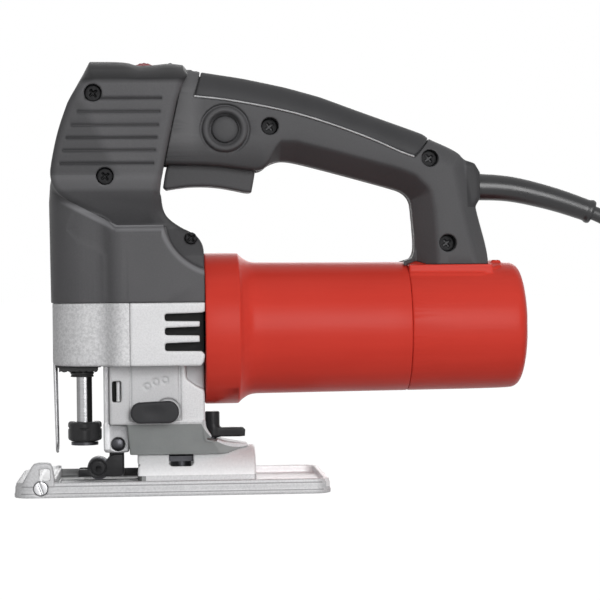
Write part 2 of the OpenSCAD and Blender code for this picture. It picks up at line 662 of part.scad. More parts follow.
bush_d = 12;
lower_bush_z = [case_bottom_z, case_bottom_z + 10];
upper_bush_z = [118, 127];
tower_x = [-101.2, -98.2];
module nose_cover() color([0.84, 0.84, 0.85]) {
    difference() {
        union() {
            translate([0, 0, case_bottom_z]) linear_extrude(case_top_z - case_bottom_z) union() {
                polygon(nose_outer(0));
                case_plan(0);
            }
        }
        translate([0, 0, case_bottom_z + case_wall]) linear_extrude(60) union() {
            polygon(nose_outer(case_wall));
            case_plan(case_wall);
        }
        box([seam_x, -50, 50], [0, 50, 120]);
        rod_z(plunger_x, 50, 66, bush_d + 2 * seat_fit);
        guard_legs(0.05);
    }
    difference() {
        rod_z(plunger_x, case_bottom_z, lower_bush_z[1], bush_d + 5);
        rod_z(plunger_x, 50, 80, bush_d + 2 * seat_fit);
    }
    box([tower_x[0], -8, case_bottom_z + 1], [tower_x[1], 8, upper_bush_z[1]]);
    difference() {
        union() {
            rod_z(plunger_x, upper_bush_z[0], upper_bush_z[1], bush_d + 4);
            box([tower_x[0], -6, upper_bush_z[0]], [plunger_x - 4, 6, upper_bush_z[1]]);
        }
        rod_z(plunger_x, 100, 140, bush_d + 2 * seat_fit);
    }
}
function nose_outer(t) = inset(concat(
    [[-70, -nose_w / 2], [-70, nose_w / 2]],
    arc([nose_front_x + 21, nose_w / 2 - 21], 21, 90, 180, 6),
    arc([nose_front_x + 21, -(nose_w / 2 - 21)], 21, 180, 270, 6)
), t);
module bush(z) difference() {
    rod_z(plunger_x, z[0], z[1], bush_d);
    rod_z(plunger_x, z[0] - 1, z[1] + 1, rod_d + 2 * run_fit);
}
module upper_bush() color([0.72, 0.55, 0.25]) bush(upper_bush_z);
module lower_bush() color([0.72, 0.55, 0.25]) bush(lower_bush_z);

module plunger_seal() color([0.1, 0.1, 0.1]) difference() {
    union() {
        box([-102.4, -11, case_bottom_z - 1], [-80.8, 11, case_bottom_z]);
        box([-101, -9.5, case_bottom_z - 3.2], [-82.6, 9.5, case_bottom_z - 1]);
        translate([-90.4, 0, case_bottom_z - 5.9]) cylinder(h = 2.8, r = 5.6);
    }
    rod_z(plunger_x, 40, 70, rod_d + 0.2);
    guard_legs(0.05);
}
guard_x = -101.6;
guard_y = 5;
guard_bottom_z = 18.6;
module guard_legs(gap) for (s = [-1, 1])
    translate([guard_x, s * guard_y, guard_bottom_z + guard_y]) cylinder(h = 40, d = guard_wire_d + 2 * gap);
module finger_guard() color([0.6, 0.61, 0.62]) {
    for (s = [-1, 1]) translate([guard_x, s * guard_y, guard_bottom_z + guard_y + guard_wire_d / 2])
        cylinder(h = case_bottom_z + 0.9 - guard_bottom_z - guard_y - guard_wire_d / 2, d = guard_wire_d);
    translate([guard_x, 0, guard_bottom_z + guard_y + guard_wire_d / 2]) rotate([90, 0, 90])
        rotate([0, 0, 180]) rotate_extrude(angle = 180) translate([guard_y, 0]) circle(d = guard_wire_d, $fn = 24);
}

// --- plunger and blade clamp ----------------------------------------------
rod_bottom_z = 32.9;
yoke_z = gear_z - crank_r;
slot_h = crank_pin_d + 0.8;
module plunger() color([0.85, 0.86, 0.88]) {
    rod_z(plunger_x, rod_bottom_z, upper_bush_z[1] + 2, rod_d);
    difference() {
        box([plunger_x - rod_d / 2, -17, yoke_z - 5.5], [yoke_rear_x, 17, yoke_z + 5.5]);
        box([plunger_x + rod_d / 2 + 1, -crank_r - crank_pin_d / 2 - 0.8, yoke_z - slot_h / 2],
            [yoke_rear_x + 1, crank_r + crank_pin_d / 2 + 0.8, yoke_z + slot_h / 2]);
    }
}
clamp_z = [rod_bottom_z - clamp_h, rod_bottom_z];
core_r = clamp_core_d / 2;
module blade_clamp_core() color([0.3, 0.3, 0.32]) difference() {
    union() {
        rod_z(plunger_x, clamp_z[0] - 1.7, clamp_z[1], clamp_core_d);
        rod_z(plunger_x, clamp_z[0] - 1.7, clamp_z[0] - slide_gap, clamp_core_d + 3);
    }
    box([plunger_x - 3.5, -blade_t / 2, 10], [plunger_x + 3.5, blade_t / 2, clamp_z[1] - 2]);
}
module blade_clamp_sleeve() color([0.12, 0.12, 0.12]) difference() {
    union() {
        rod_z(plunger_x, clamp_z[0], clamp_z[1], clamp_core_d + 4.6);
        for (a = [30, 150, 270]) translate([plunger_x, 0, clamp_z[0]]) rotate([0, 0, a])
            translate([core_r + 1.4, 0, 0]) cylinder(h = clamp_h, d = 4.4);
    }
    rod_z(plunger_x, 0, 60, clamp_core_d + 2 * run_fit);
}

// --- blade guide ----------------------------------------------------------
lever_x = -73.2;
lever_z = 22.2;
roller_x = -82.7;
roller_z = 10.5;
ear_in = 5.6;
ear_out = 8.4;
module guide_bracket() color([0.62, 0.63, 0.64]) difference() {
    union() {
        box([-79.9, -ear_out, 20], [lower_front_x, ear_out, case_bottom_z]);
        for (s = [-1, 1]) translate([0, s < 0 ? -ear_out : ear_in, 0]) {
            box([-79.9, 0, 20], [-68.95, ear_out - ear_in, lower_bottom_z]);
            rod_y(0, ear_out - ear_in, 8.4, lever_x, lever_z);
        }
    }
    rod_y(-20, 20, lever_pin_d + 2 * seat_fit, lever_x, lever_z);
    box([-78.4, -ear_in, 0], [-60, ear_in, lower_bottom_z]);
}
module roller_lever_pin() color([0.2, 0.2, 0.21])
    rod_y(-ear_out - 0.6, ear_out + 0.6, lever_pin_d, lever_x, lever_z);
cheek_in = roller_w / 2 + slide_gap;
cheek_out = cheek_in + 1.6;
module roller_lever() color([0.13, 0.13, 0.13]) difference() {
    union() {
        rod_y(-ear_in + slide_gap, ear_in - slide_gap, 9, lever_x, lever_z);
        box([-77.6, -ear_in + slide_gap, 6.8], [-70.4, ear_in - slide_gap, lever_z]);
        for (s = [-1, 1]) translate([0, s < 0 ? -cheek_out : cheek_in, 0]) {
            box([-92.4, 0, 6.6], [-71, cheek_out - cheek_in, 11.2]);
            rod_y(0, cheek_out - cheek_in, 7.6, roller_x, roller_z);
        }
    }
    rod_y(-20, 20, lever_pin_d + 2 * run_fit, lever_x, lever_z);
    rod_y(-cheek_in, cheek_in, roller_d + 1.2, roller_x, roller_z);
    rod_y(-20, 20, roller_axle_d + 2 * seat_fit, roller_x, roller_z);
}
module roller_axle() color([0.8, 0.8, 0.82]) rod_y(-cheek_out, cheek_out, roller_axle_d, roller_x, roller_z);
module support_roller() color([0.5, 0.5, 0.52]) translate([roller_x, 0, roller_z]) rotate([90, 0, 0])
    rotate_extrude() polygon([
        [roller_axle_d / 2 + run_fit, -roller_w / 2], [roller_d / 2, -roller_w / 2], [roller_d / 2, -1.4],
        [roller_d / 2 - 1.2, -0.9], [roller_d / 2 - 1.2, 0.9], [roller_d / 2, 1.4], [roller_d / 2, roller_w / 2],
        [roller_axle_d / 2 + run_fit, roller_w / 2]
    ]);

// --- sole plate -----------------------------------------------------------
module plan_outline(t) {
    x0 = plate_front_x + t;
    x1 = plate_rear_x - t;
    w = plate_w / 2 - t;
    r = max(corner_r - t, 1);
    translate([x0 + r, -w]) square([x1 - x0 - 2 * r, 2 * w]);
    translate([x0, -w + r]) square([x1 - x0, 2 * (w - r)]);
    for (x = [x0 + r, x1 - r]) for (y = [-w + r, w - r]) translate([x, y]) circle(r = r);
}
bridge_rear_x = -103.4;
bridge_front_x = -112.6;
guide_slot_z = [8.2, 8.2 + guide_slot_h];
bridge_top_z = guide_slot_z[1] + 2.8;
guide_slot_x = [-104.3 - guide_slot_len, -104.3];
saddle_x = [-64, -7.6];
clamp_screw_x = -108.6;
clamp_screw_z = 4.4;
module sector(x0, x1, r, a) along_x(x0, x1)
    polygon(concat([[0, tilt_z - 4]], [for (i = [0:10]) let (q = 90 + a - 2 * a * i / 10) [r * cos(q), tilt_z + r * sin(q)]]));
module base_plate() color([0.6, 0.61, 0.62]) difference() {
    union() {
        linear_extrude(web_t) plan_outline(0);
        linear_extrude(rim_h) difference() {
            plan_outline(0);
            plan_outline(rim_t);
        }
        intersection() {
            along_y(-plate_w / 2, plate_w / 2, [
                [plate_front_x, 0], [bridge_rear_x, 0], [bridge_rear_x, bridge_top_z],
                [bridge_front_x, bridge_top_z], [-117.8, 6.4], [-120.6, 5.2]
            ]);
            linear_extrude(bridge_top_z) plan_outline(0);
        }
        intersection() {
            rod_x(saddle_x[0], saddle_x[1], 2 * saddle_r, 0, tilt_z);
            box([-100, -30, 0], [0, 30, 40]);
        }
    }
    rod_x(saddle_x[0] - 1, saddle_x[1] - 3, 2 * (saddle_r - saddle_t), 0, tilt_z);
    box([saddle_x[0] - 1, -saddle_r + saddle_t, -1], [saddle_x[1] - 3, saddle_r - saddle_t, tilt_z]);
    box([bridge_rear_x + 2, -blade_gap_w / 2, -1], [saddle_x[0] - 1.8, blade_gap_w / 2, rim_h + 1]);
    box([saddle_x[0] - 2, -saddle_r + saddle_t, -1], [saddle_x[0] + 1, saddle_r - saddle_t, 14]);
    box([guide_slot_x[0], -60, guide_slot_z[0]], [guide_slot_x[1], 60, guide_slot_z[1]]);
    sector(bolt_x - 5.8, bolt_x + 5.8, saddle_r + 2, tilt_max + 11.5);
    rod_y(-plate_w / 2 - 1, -plate_w / 2 + 3.2, 6.8, clamp_screw_x, clamp_screw_z);
    rod_y(-plate_w / 2 - 1, -plate_w / 2 + 16, 4.1, clamp_screw_x, clamp_screw_z);
}
module guide_clamp_screw() color([0.15, 0.15, 0.15]) difference() {
    union() {
        rod_y(-plate_w / 2 + 0.3, -plate_w / 2 + 3.1, 6.6, clamp_screw_x, clamp_screw_z);
        rod_y(-plate_w / 2 + 3, -plate_w / 2 + 15, 4, clamp_screw_x, clamp_screw_z);
    }
    translate([clamp_screw_x, -plate_w / 2, clamp_screw_z]) cube([4.6, 3, 1], center = true);
}
// The bolt hangs the saddle from the foot: a curved washer rides inside it
washer_r = saddle_r - saddle_t - 0.3;
washer_t = 2.4;
module curved_washer(x, half_len) difference() {
    intersection() {
        rod_x(x - half_len, x + half_len, 2 * washer_r, 0, tilt_z);
        box([-100, -6, tilt_z + washer_r - washer_t - 1.4], [0, 6, 40]);
    }
    rod_z(x, 0, 40, bolt_d + 2 * seat_fit);
}
washer_bottom_z = tilt_z + washer_r - washer_t - 1.4;
module bevel_washer() color([0.7, 0.7, 0.72]) {
    curved_washer(bolt_x, 6);
}
module bevel_bolt() color([0.2, 0.2, 0.21]) {
    rod_z(bolt_x, washer_bottom_z - 4, washer_bottom_z, 10);
    rod_z(bolt_x, washer_bottom_z - 1, lower_bottom_z + 2, bolt_d);
}
module bevel_stud() color([0.2, 0.2, 0.21]) {
    rod_z(stud_x, tilt_z + saddle_r + saddle_gap + 0.3, tail_top_z + 11, stud_d);
}
module bevel_lever() color([0.1, 0.1, 0.1]) difference() {
    union() {
        rod_z(stud_x, tail_top_z + slide_gap, 37, 7);
        translate([stud_x, -3, tail_top_z + slide_gap]) cube([bevel_lever_len - 3, 6, 5]);
        rod_z(stud_x + bevel_lever_len - 3, tail_top_z + slide_gap, tail_top_z + slide_gap + 5, 6);
    }
    rod_z(stud_x, 0, tail_top_z + 11.3, stud_d + 2 * run_fit);
}

// --- controls -------------------------------------------------------------
orbit_r = orbit_w / 2;
lever_y = [-lower_half - 6.6, -lower_half - slide_gap];
module orbital_lever() color([0.2, 0.2, 0.21]) difference() {
    union() {
        rod_y(lever_y[0], lever_y[1], orbit_w, orbit_x, orbit_z);
        rod_y(lever_y[0], lever_y[1], orbit_w, orbit_x - orbit_len + orbit_r, orbit_z);
        box([orbit_x - orbit_len + orbit_r, lever_y[0], orbit_z - orbit_r], [orbit_x, lever_y[1], orbit_z + orbit_r]);
    }
    rod_y(lever_y[0] + 2, 0, orbit_shaft_d, orbit_x, orbit_z);
}
module orbital_shaft() color([0.7, 0.7, 0.72]) difference() {
    rod_y(lever_y[0] + 2, lower_half - 1, orbit_shaft_d, orbit_x, orbit_z);
    box([orbit_x - 6, -6, orbit_z + 1.5], [orbit_x + 6, 6, orbit_z + 6]);
}

trigger_half = trigger_w / 2;
module trigger() color([0.11, 0.11, 0.11]) difference() {
    union() {
        along_y(-trigger_half, trigger_half, [
            [-50.3, 145], [-49, 143.8], [-37.4, 145.4], [-27.3, 145.3], [-18.6, 144], [-9.9, 142], [-7.9, 142.4],
            [-6, 152.6], [-6, 161], [-44, 161], [-49, 156]
        ]);
        for (x = [[-40.6, -32], [-12.5, -8]])
            box([x[0], -trigger_half - 1.8, 160.8], [x[1], trigger_half + 1.8, 162.8]);
    }
    rod_z(-27, 153, 170, 8);
}
module trigger_spring() color([0.7, 0.7, 0.72]) swept_bar(
    [for (i = [0:40]) [-27 + 2.8 * cos(45 * i), 2.8 * sin(45 * i), 153.6 + 15.8 * i / 40]],
    [for (i = [0:40]) 0.4], 6, [0, 0, 1]);
module switch_body() color([0.15, 0.15, 0.16]) {
    box([switch_x[0], -switch_w / 2, switch_z[0]], [switch_x[1], switch_w / 2, switch_z[1]]);
    for (x = [-33, -12]) box([x, -1.5, switch_z[1] - 0.1], [x + 4, 1.5, switch_z[1] + 4.5]);
}
module lock_button() color([0.1, 0.1, 0.1]) {
    rod_y(-grip_w / 2 - 1, -switch_w / 2 - lock_travel - 0.4, lock_d, lock_x, lock_z);
    rod_y(-grip_w / 2 + shell_wall + 0.3, -switch_w / 2 - lock_travel - 0.4, lock_collar_d, lock_x, lock_z);
}

dial_x = -58.9;
dial_z = 196.9;
dial_pin_d = 3;
module speed_dial() color([0.8, 0.15, 0.13]) {
    difference() {
        rod_y(-dial_w / 2, dial_w / 2, dial_d, dial_x, dial_z);
        for (a = [0:15:345]) translate([dial_x, 0, dial_z]) rotate([0, a, 0])
            translate([dial_d / 2 + 0.35, -dial_w, -0.5]) rotate([0, 45, 0]) cube([1, 2 * dial_w, 1]);
    }
    rod_y(-dial_w / 2 - 3, dial_w / 2 + 3, dial_pin_d, dial_x, dial_z);
}
module dial_window() box([dial_x - dial_d / 2 - 0.3, -dial_w / 2 - 0.5, dial_z], [dial_x + dial_d / 2 + 0.3, dial_w / 2 + 0.5, 212]);
module speed_module() color([0.1, 0.3, 0.2]) difference() {
    union() {
        box([-68, -head_w / 2 + shell_wall + 6, 177], [-50, head_w / 2 - shell_wall - 6, 185]);
        for (s = [-1, 1]) translate([0, s < 0 ? -dial_w / 2 - 3.4 : dial_w / 2 + 0.6, 0])
            box([dial_x - 3.2, 0, 180], [dial_x + 3.2, 2.8, dial_z + 3]);
        for (s = [-1, 1]) translate([0, s < 0 ? -head_w / 2 + shell_wall + 0.2 : head_w / 2 - shell_wall - 6.2, 0])
            box([-62, 0, 179], [-56, 6, 183]);
    }
    rod_y(-20, 20, dial_pin_d + 2 * run_fit, dial_x, dial_z);
}

// --- cord -----------------------------------------------------------------
// Bend protector: centreline in the plane Y = 0, root to tip
sleeve_path = [
    [96.5, 0, 144.4], [100, 0, 144.4], [104, 0, 144.3], [111, 0, 144], [118, 0, 143.3], [125, 0, 142],
    [132, 0, 140.3], [139, 0, 138.4], [146, 0, 136.2], [152, 0, 134.1], [156.2, 0, 132.6], [157, 0, 132.3],
    [159, 0, 131.5]
];
sleeve_r = [
    for (i = [0:12]) i >= 11 ? sleeve_tip_d / 2 + 0.7 : sleeve_root_d / 2 - (sleeve_root_d - sleeve_tip_d) / 2 * max(i - 2, 0) / 8
];
module cord_sleeve() color([0.1, 0.1, 0.1]) {
    swept_bar(sleeve_path, sleeve_r, 16, [0, 1, 0]);
    rod_x(96.5, 99.2, sleeve_root_d + 4, 0, 144.4);
}
module sleeve_seat() {
    rod_x(95, 106, sleeve_root_d + 0.7, 0, 144.4);
    rod_x(96, 99.6, sleeve_root_d + 4.8, 0, 144.4);
}
clamp_block_x = [84, 92];
module cord_clamp() color([0.2, 0.2, 0.2]) difference() {
    box([clamp_block_x[0], -12, 138], [clamp_block_x[1], 12, 152]);
    rod_x(80, 96, cord_d, 0, 144.4);
    for (s = [-1, 1]) rod_z_at(88, s * 8, 130, 160, screw_shank_d);
}
module rod_z_at(x, y, z0, z1, d) translate([x, y, z0]) cylinder(h = z1 - z0, d = d);
module clamp_ribs()
    box([clamp_block_x[0] + 1, -grip_w / 2 + 2, 138], [clamp_block_x[1] - 1, -12 - seat_fit, 152]);

// Route of the cord, chosen by hand: down to the coil, and from the coil to the plug
cord_drop = [
    [159, 0, 131.5], [161, 0, 130.7], [165, 0, 128.8], [169.2, 0, 125.8], [172.8, 0, 122.2], [175.7, 0, 118],
    [177.9, 0, 113.4], [179.2, 0.1, 108.4], [179.6, 0.7, 103.3], [179.6, 2.2, 96.3], [179.6, 4.8, 88.6],
    [179.6, 7.9, 80.8], [179.6, 11.3, 73.1], [179.6, 14.8, 65.3], [179.6, 18.1, 57.6],
    [179.6, 20.9, 49.8], [179.6, 23, 42.1], [179.6, 24.1, 34.3], [180.4, 24.3, 27.7],
    [182.5, 24.7, 21.5], [186, 25.3, 15.9], [190.6, 26.1, 11.2], [196.1, 27.1, 7.7], [202.2, 28.2, 5.5],
    [208.7, 29.3, 4.8], [217.5, 30.9, 4.8], [226.3, 32.4, 4.8], [230.6, 33, 4.8], [235, 33.2, 4.8],
    [242, 32.7, 4.8]
];
cord_tail = [
    [214.3, -46.5, 21.3], [207.7, -39.9, 23], [202.7, -32, 25.1], [199.9, -23.2, 27.4],
    [199.4, -17, 29], [200.5, -9, 30.9], [203.6, -1.5, 32.6], [208.5, 4.9, 34.1], [214.9, 9.8, 35.3],
    [222.4, 12.9, 36.1], [228.6, 14, 36.4], [230.4, 14, 36.4]
];
coil_centre = [235, -17];
coil_in_r = 31.8;
coil_out_r = 54;
coil_z = [1.3, 22.9];
module cord() color([0.08, 0.08, 0.08]) {
    swept_bar(cord_drop, [for (p = cord_drop) cord_d / 2], 12, [0, 1, 0]);
    swept_bar(cord_tail, [for (p = cord_tail) cord_d / 2], 12, [0, 0, 1]);
}
module cord_coil() color([0.08, 0.08, 0.08]) translate([coil_centre[0], coil_centre[1], coil_z[0]])
    rotate_extrude() translate([coil_in_r, 0]) square([coil_out_r - coil_in_r, coil_z[1] - coil_z[0]]);
tie_t = 1;
module cord_tie() color([0.1, 0.1, 0.1]) translate([coil_centre[0], coil_centre[1], 0]) rotate([0, 0, -60])
    difference() {
        box([coil_in_r - tie_t - 0.2, -5, coil_z[0] - tie_t - 0.2], [coil_out_r + tie_t + 0.2, 5, coil_z[1] + tie_t + 0.2]);
        box([coil_in_r - 0.2, -6, coil_z[0] - 0.2], [coil_out_r + 0.2, 6, coil_z[1] + 0.2]);
        intersection() {
            box([20, -6, 0], [60, 6, 30]);
            translate([0, 0, coil_z[0]]) difference() {
                cylinder(r = coil_out_r + 0.1, h = coil_z[1] - coil_z[0]);
                translate([0, 0, -1]) cylinder(r = coil_in_r - 0.1, h = 40);
            }
        }
    }
plug_h = 26;
plug_y = 14;
plug_z = coil_z[1] + 0.5 + plug_h / 2;  // it lies on the coil
plug_x = [230.4, 252.4, 284.4];
module plug() color([0.08, 0.08, 0.08]) difference() {
    union() {
        translate([plug_x[0], plug_y, plug_z]) rotate([0, 90, 0]) cylinder(h = plug_x[1] - plug_x[0], r1 = 4.8, r2 = 8);
        intersection() {
            rod_x(plug_x[1], plug_x[2], 35.5, plug_y, plug_z);
            box([plug_x[0], plug_y - 30, plug_z - plug_h / 2], [plug_x[2] + 1, plug_y + 30, plug_z + plug_h / 2]);
        }
    }
    plug_pin_rods(0.05);
}
module plug_pin_rods(gap) for (s = [-1, 1])
    rod_x(plug_x[2] - 6, plug_x[2] + 19 + (gap > 0 ? 1 : 0), 4.8 + 2 * gap, plug_y + s * 9.5, plug_z);
module plug_pins() color([0.8, 0.8, 0.8]) plug_pin_rods(0);

left_head_shell();
right_head_shell();
left_handle_shell();
right_handle_shell();
grip_pad();
housing_screws();
motor_tube();
motor_end_cap();
end_cap_screws();
gear_case();
nose_cover();
gear_case_screws();
plunger_seal();
finger_guard();
guide_bracket();
roller_lever_pin();
roller_lever();
roller_axle();
support_roller();
upper_bush();
lower_bush();
plunger();
blade_clamp_core();
blade_clamp_sleeve();
base_plate();
guide_clamp_screw();
bevel_bolt();
bevel_washer();
bevel_stud();
bevel_lever();
orbital_lever();
orbital_shaft();
trigger();
trigger_spring();
switch_body();
lock_button();
speed_dial();
speed_module();
armature_shaft();
armature_core();
commutator();
fan();
field_stator();
front_bearing();
rear_bearing();
brush_holders();
carbon_brushes();
brush_springs();
crank_gear();
gear_axle();
crank_pin();
cord_sleeve();
cord_clamp();
cord();
cord_coil();
cord_tie();
plug();
plug_pins();
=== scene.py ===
"""A corded top-handle jigsaw, dressed for the studio round its frame. Metres; sizes are written in mm."""
import bpy
import math
import numpy as np
from mathutils import Matrix, Vector


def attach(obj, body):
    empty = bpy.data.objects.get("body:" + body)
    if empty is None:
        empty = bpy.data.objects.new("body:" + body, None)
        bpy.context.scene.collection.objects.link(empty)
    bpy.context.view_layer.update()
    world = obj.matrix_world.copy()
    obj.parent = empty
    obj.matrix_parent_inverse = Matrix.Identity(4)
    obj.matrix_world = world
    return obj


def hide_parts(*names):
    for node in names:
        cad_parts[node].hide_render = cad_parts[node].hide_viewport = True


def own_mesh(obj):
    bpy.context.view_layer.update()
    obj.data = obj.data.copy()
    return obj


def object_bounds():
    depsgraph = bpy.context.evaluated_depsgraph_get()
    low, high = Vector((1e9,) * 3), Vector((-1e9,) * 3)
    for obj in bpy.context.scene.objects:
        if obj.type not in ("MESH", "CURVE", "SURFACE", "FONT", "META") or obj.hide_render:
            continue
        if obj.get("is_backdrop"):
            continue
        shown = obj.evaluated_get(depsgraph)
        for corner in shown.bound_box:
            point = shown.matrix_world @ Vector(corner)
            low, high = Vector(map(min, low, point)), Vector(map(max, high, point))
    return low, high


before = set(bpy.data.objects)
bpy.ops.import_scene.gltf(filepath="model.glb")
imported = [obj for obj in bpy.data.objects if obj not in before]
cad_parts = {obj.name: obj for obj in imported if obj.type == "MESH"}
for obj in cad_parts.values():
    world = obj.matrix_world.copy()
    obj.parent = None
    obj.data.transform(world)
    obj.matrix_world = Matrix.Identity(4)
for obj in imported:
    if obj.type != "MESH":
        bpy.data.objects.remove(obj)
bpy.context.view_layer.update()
mm = 0.001

# --- Camera, floor and lamps ------------------------------------------------
# A long lens a metre off, almost level with the middle of the tool and four degrees towards its nose.
# The sweep is white paper; large soft lamps stand in front, above and behind.
aim = np.array([15.3, 0, 90.2]) * mm
turn, tip, lean = math.radians(-4), math.radians(0.56), math.radians(0.6)
back = np.array([math.sin(turn) * math.cos(tip), -math.cos(turn) * math.cos(tip), math.sin(tip)])
level = np.array([math.cos(turn), math.sin(turn), 0])
upright = np.cross(back, level)
across = level * math.cos(lean) - upright * math.sin(lean)
above = level * math.sin(lean) + upright * math.cos(lean)
camera = bpy.data.objects.new("camera", bpy.data.cameras.new("camera"))
bpy.context.scene.collection.objects.link(camera)
axes = np.column_stack([across, above, back])
camera.matrix_world = Matrix([[*row, place] for row, place in zip(axes, aim + back)] + [[0, 0, 0, 1]])
camera.data.lens = 123.7
camera.data.sensor_width = 36
bpy.context.scene.camera = camera
bpy.context.scene.view_settings.view_transform = "Standard"


class Ink:
    """A socket of a finish. Sums, products and powers of inks become Math nodes."""

    def __init__(self, tree, socket=None):
        self.tree, self.socket = tree, socket

    def node(self, kind, settings=None, sockets=None, output=0):
        """A new node: its settings first, then a value or ink for each socket. Gives one output's ink."""
        made = self.tree.nodes.new("ShaderNode" + kind)
        for name, value in (settings or {}).items():
            if name == "stops":
                ramp = made.color_ramp.elements
                while len(ramp) < len(value):
                    ramp.new(0.5)
                for stop, (at, shade) in zip(ramp, value):
                    stop.position, stop.color = at, (shade, shade, shade, 1)
            else:
                setattr(made, name, value)
        for name, value in (sockets or {}).items():
            if isinstance(value, Ink):
                self.tree.links.new(value.socket, made.inputs[name])
            else:
                made.inputs[name].default_value = value
        return Ink(self.tree, made.outputs[output] if made.outputs else None)

    def math(self, operation, first, second):
        return self.node("Math", {"operation": operation}, {0: first, 1: second})

    def __add__(self, other):
        return self.math("ADD", self, other)

    __radd__ = __add__

    def __sub__(self, other):
        return self.math("SUBTRACT", self, other)

    def __rsub__(self, other):
        return self.math("SUBTRACT", other, self)

    def __mul__(self, other):
        return self.math("MULTIPLY", self, other)

    __rmul__ = __mul__

    def __pow__(self, other):
        return self.math("POWER", self, other)

    def __gt__(self, other):
        return self.math("GREATER_THAN", self, other)

    def __lt__(self, other):
        return self.math("LESS_THAN", self, other)

    def __abs__(self):
        return self.math("ABSOLUTE", self, 0.0)


def plain_rays(ink):
    """1 for what the camera sees itself, in metal or through glass, and 0 for light on its way."""
    kinds = ("Is Camera Ray", "Is Glossy Ray", "Is Transmission Ray")
    seen = [ink.node("LightPath", output=kind) for kind in kinds]
    return ink.math("MINIMUM", seen[0] + seen[1] + seen[2], 1.0)


world = bpy.data.worlds.new("studio")
bpy.context.scene.world = world
world.use_nodes = True
world.node_tree.nodes.clear()
ink = Ink(world.node_tree)
paper = ink.node("Background", sockets={"Color": (1, 1, 1, 1), "Strength": plain_rays(ink) * 0.84 + 0.16})
ink.node("OutputWorld", sockets={"Surface": paper})

floor_finish = bpy.data.materials.new("white_paper")
floor_finish.use_nodes = True
floor_finish.node_tree.nodes.clear()
ink = Ink(floor_finish.node_tree)
lit = ink.node("BsdfDiffuse", sockets={"Color": (0.4, 0.4, 0.4, 1)})
glow = ink.node("Emission", sockets={"Color": (1, 1, 1, 1), "Strength": 1.16})
seen_lit = ink.node("MixShader", sockets={0: plain_rays(ink) * 0.86, 1: lit, 2: glow})
ink.node("OutputMaterial", sockets={"Surface": seen_lit})
sheet = bpy.data.meshes.new("floor")
sheet.from_pydata([(-6, -3, 0), (6, -3, 0), (6, 9, 0), (-6, 9, 0)], [], [(0, 1, 2, 3)])
floor = bpy.data.objects.new("floor", sheet)
floor.data.materials.append(floor_finish)
bpy.context.scene.collection.objects.link(floor)
floor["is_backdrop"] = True

for name, place, size, power in [
    ("key", (0.3, -1.5, 0.45), 0.8, 17.5), ("fill", (-0.9, -1.2, 0.3), 1.0, 0.9),
    ("top", (0.05, -0.3, 1.4), 0.8, 0.4), ("rim", (0.2, 1.5, 0.35), 0.9, 7.0),
]:
    lamp = bpy.data.objects.new(name, bpy.data.lights.new(name, "AREA"))
    lamp.data.size, lamp.data.energy = size, power
    lamp.location = place
    lamp.rotation_mode = "QUATERNION"
    lamp.rotation_quaternion = (Vector(place) - Vector(aim)).to_track_quat("Z", "Y")
    bpy.context.scene.collection.objects.link(lamp)


# --- Cord --------------------------------------------------------------------
# Two metres of round rubber flex, 7 mm thick. It leaves the bend protector and drops to the bench behind
# the tool, where its spare length lies in a coil of three layers, wound clockwise.
def finish_named(name, metallic=0.0, roughness=0.5, shine=0.5):
    """A new finish with its Principled shader, and an ink to mix it with. Shine is the mirror in its skin."""
    finish = bpy.data.materials.new(name)
    finish.use_nodes = True
    finish.node_tree.nodes.clear()
    ink = Ink(finish.node_tree)
    surface = finish.node_tree.nodes.new("ShaderNodeBsdfPrincipled")
    for socket, value in (("Metallic", metallic), ("Roughness", roughness), ("Specular IOR Level", shine)):
        surface.inputs[socket].default_value = value
    out = finish.node_tree.nodes.new("ShaderNodeOutputMaterial")
    finish.node_tree.links.new(surface.outputs[0], out.inputs["Surface"])
    return finish, ink, surface


def lay_on(surface, socket, ink):
    """Feeds one socket of a finish with an ink."""
    surface.id_data.links.new(ink.socket, surface.inputs[socket])


def grain(ink, size, detail=2.0, roughness=0.5, stretch=(1, 1, 1)):
    """Noise whose lumps are size mm across."""
    place = ink.node("TexCoord", output="Object")
    if stretch != (1, 1, 1):
        place = ink.node("VectorMath", {"operation": "MULTIPLY"}, {0: place, 1: stretch})
    settings = {"Vector": place, "Scale": 1000 / size, "Detail": detail, "Roughness": roughness}
    return ink.node("TexNoise", sockets=settings)


def tinted(ink, mask, dark, light):
    """The colour between dark and light that the mask picks."""
    return ink.node("Mix", {"data_type": "RGBA"}, {0: mask, 6: (*dark, 1), 7: (*light, 1)}, output=2)


def relief(ink, height, depth):
    """A bump of depth mm."""
    return ink.node("Bump", sockets={"Height": height, "Distance": depth * mm, "Strength": 1.1})


def rubber(name, dark, light, roughness):
    """Black rubber with a dull bloom and a fine skin."""
    finish, ink, surface = finish_named(name, roughness=roughness)
    bloom = grain(ink, 9, 3)
    lay_on(surface, "Base Color", tinted(ink, bloom, dark, light))
    lay_on(surface, "Roughness", bloom * 0.18 + (roughness - 0.09))
    lay_on(surface, "Normal", relief(ink, grain(ink, 0.35), 0.025))
    return finish


flex_rubber = rubber("flex_rubber", (0.018, 0.018, 0.019), (0.034, 0.034, 0.036), 0.42)


def smooth(t):
    """From 0 to 1, starting and ending gently."""
    t = min(max(t, 0), 1)
    return t * t * (3 - 2 * t)


def through(points, step):
    """A smooth line through given points, with a new point about every step mm."""
    p = np.array(points, float)
    p = np.vstack([2 * p[0] - p[1], p, 2 * p[-1] - p[-2]])
    line = []
    for a, b, c, d in zip(p, p[1:], p[2:], p[3:]):
        n = max(2, int(round(np.linalg.norm(c - b) / step)))
        for t in np.arange(n) / n:
            line.append(0.5 * (2 * b + (c - a) * t + (2 * a - 5 * b + 4 * c - d) * t * t
                               + (3 * b - 3 * c + d - a) * t**3))
    return line + [p[-2]]


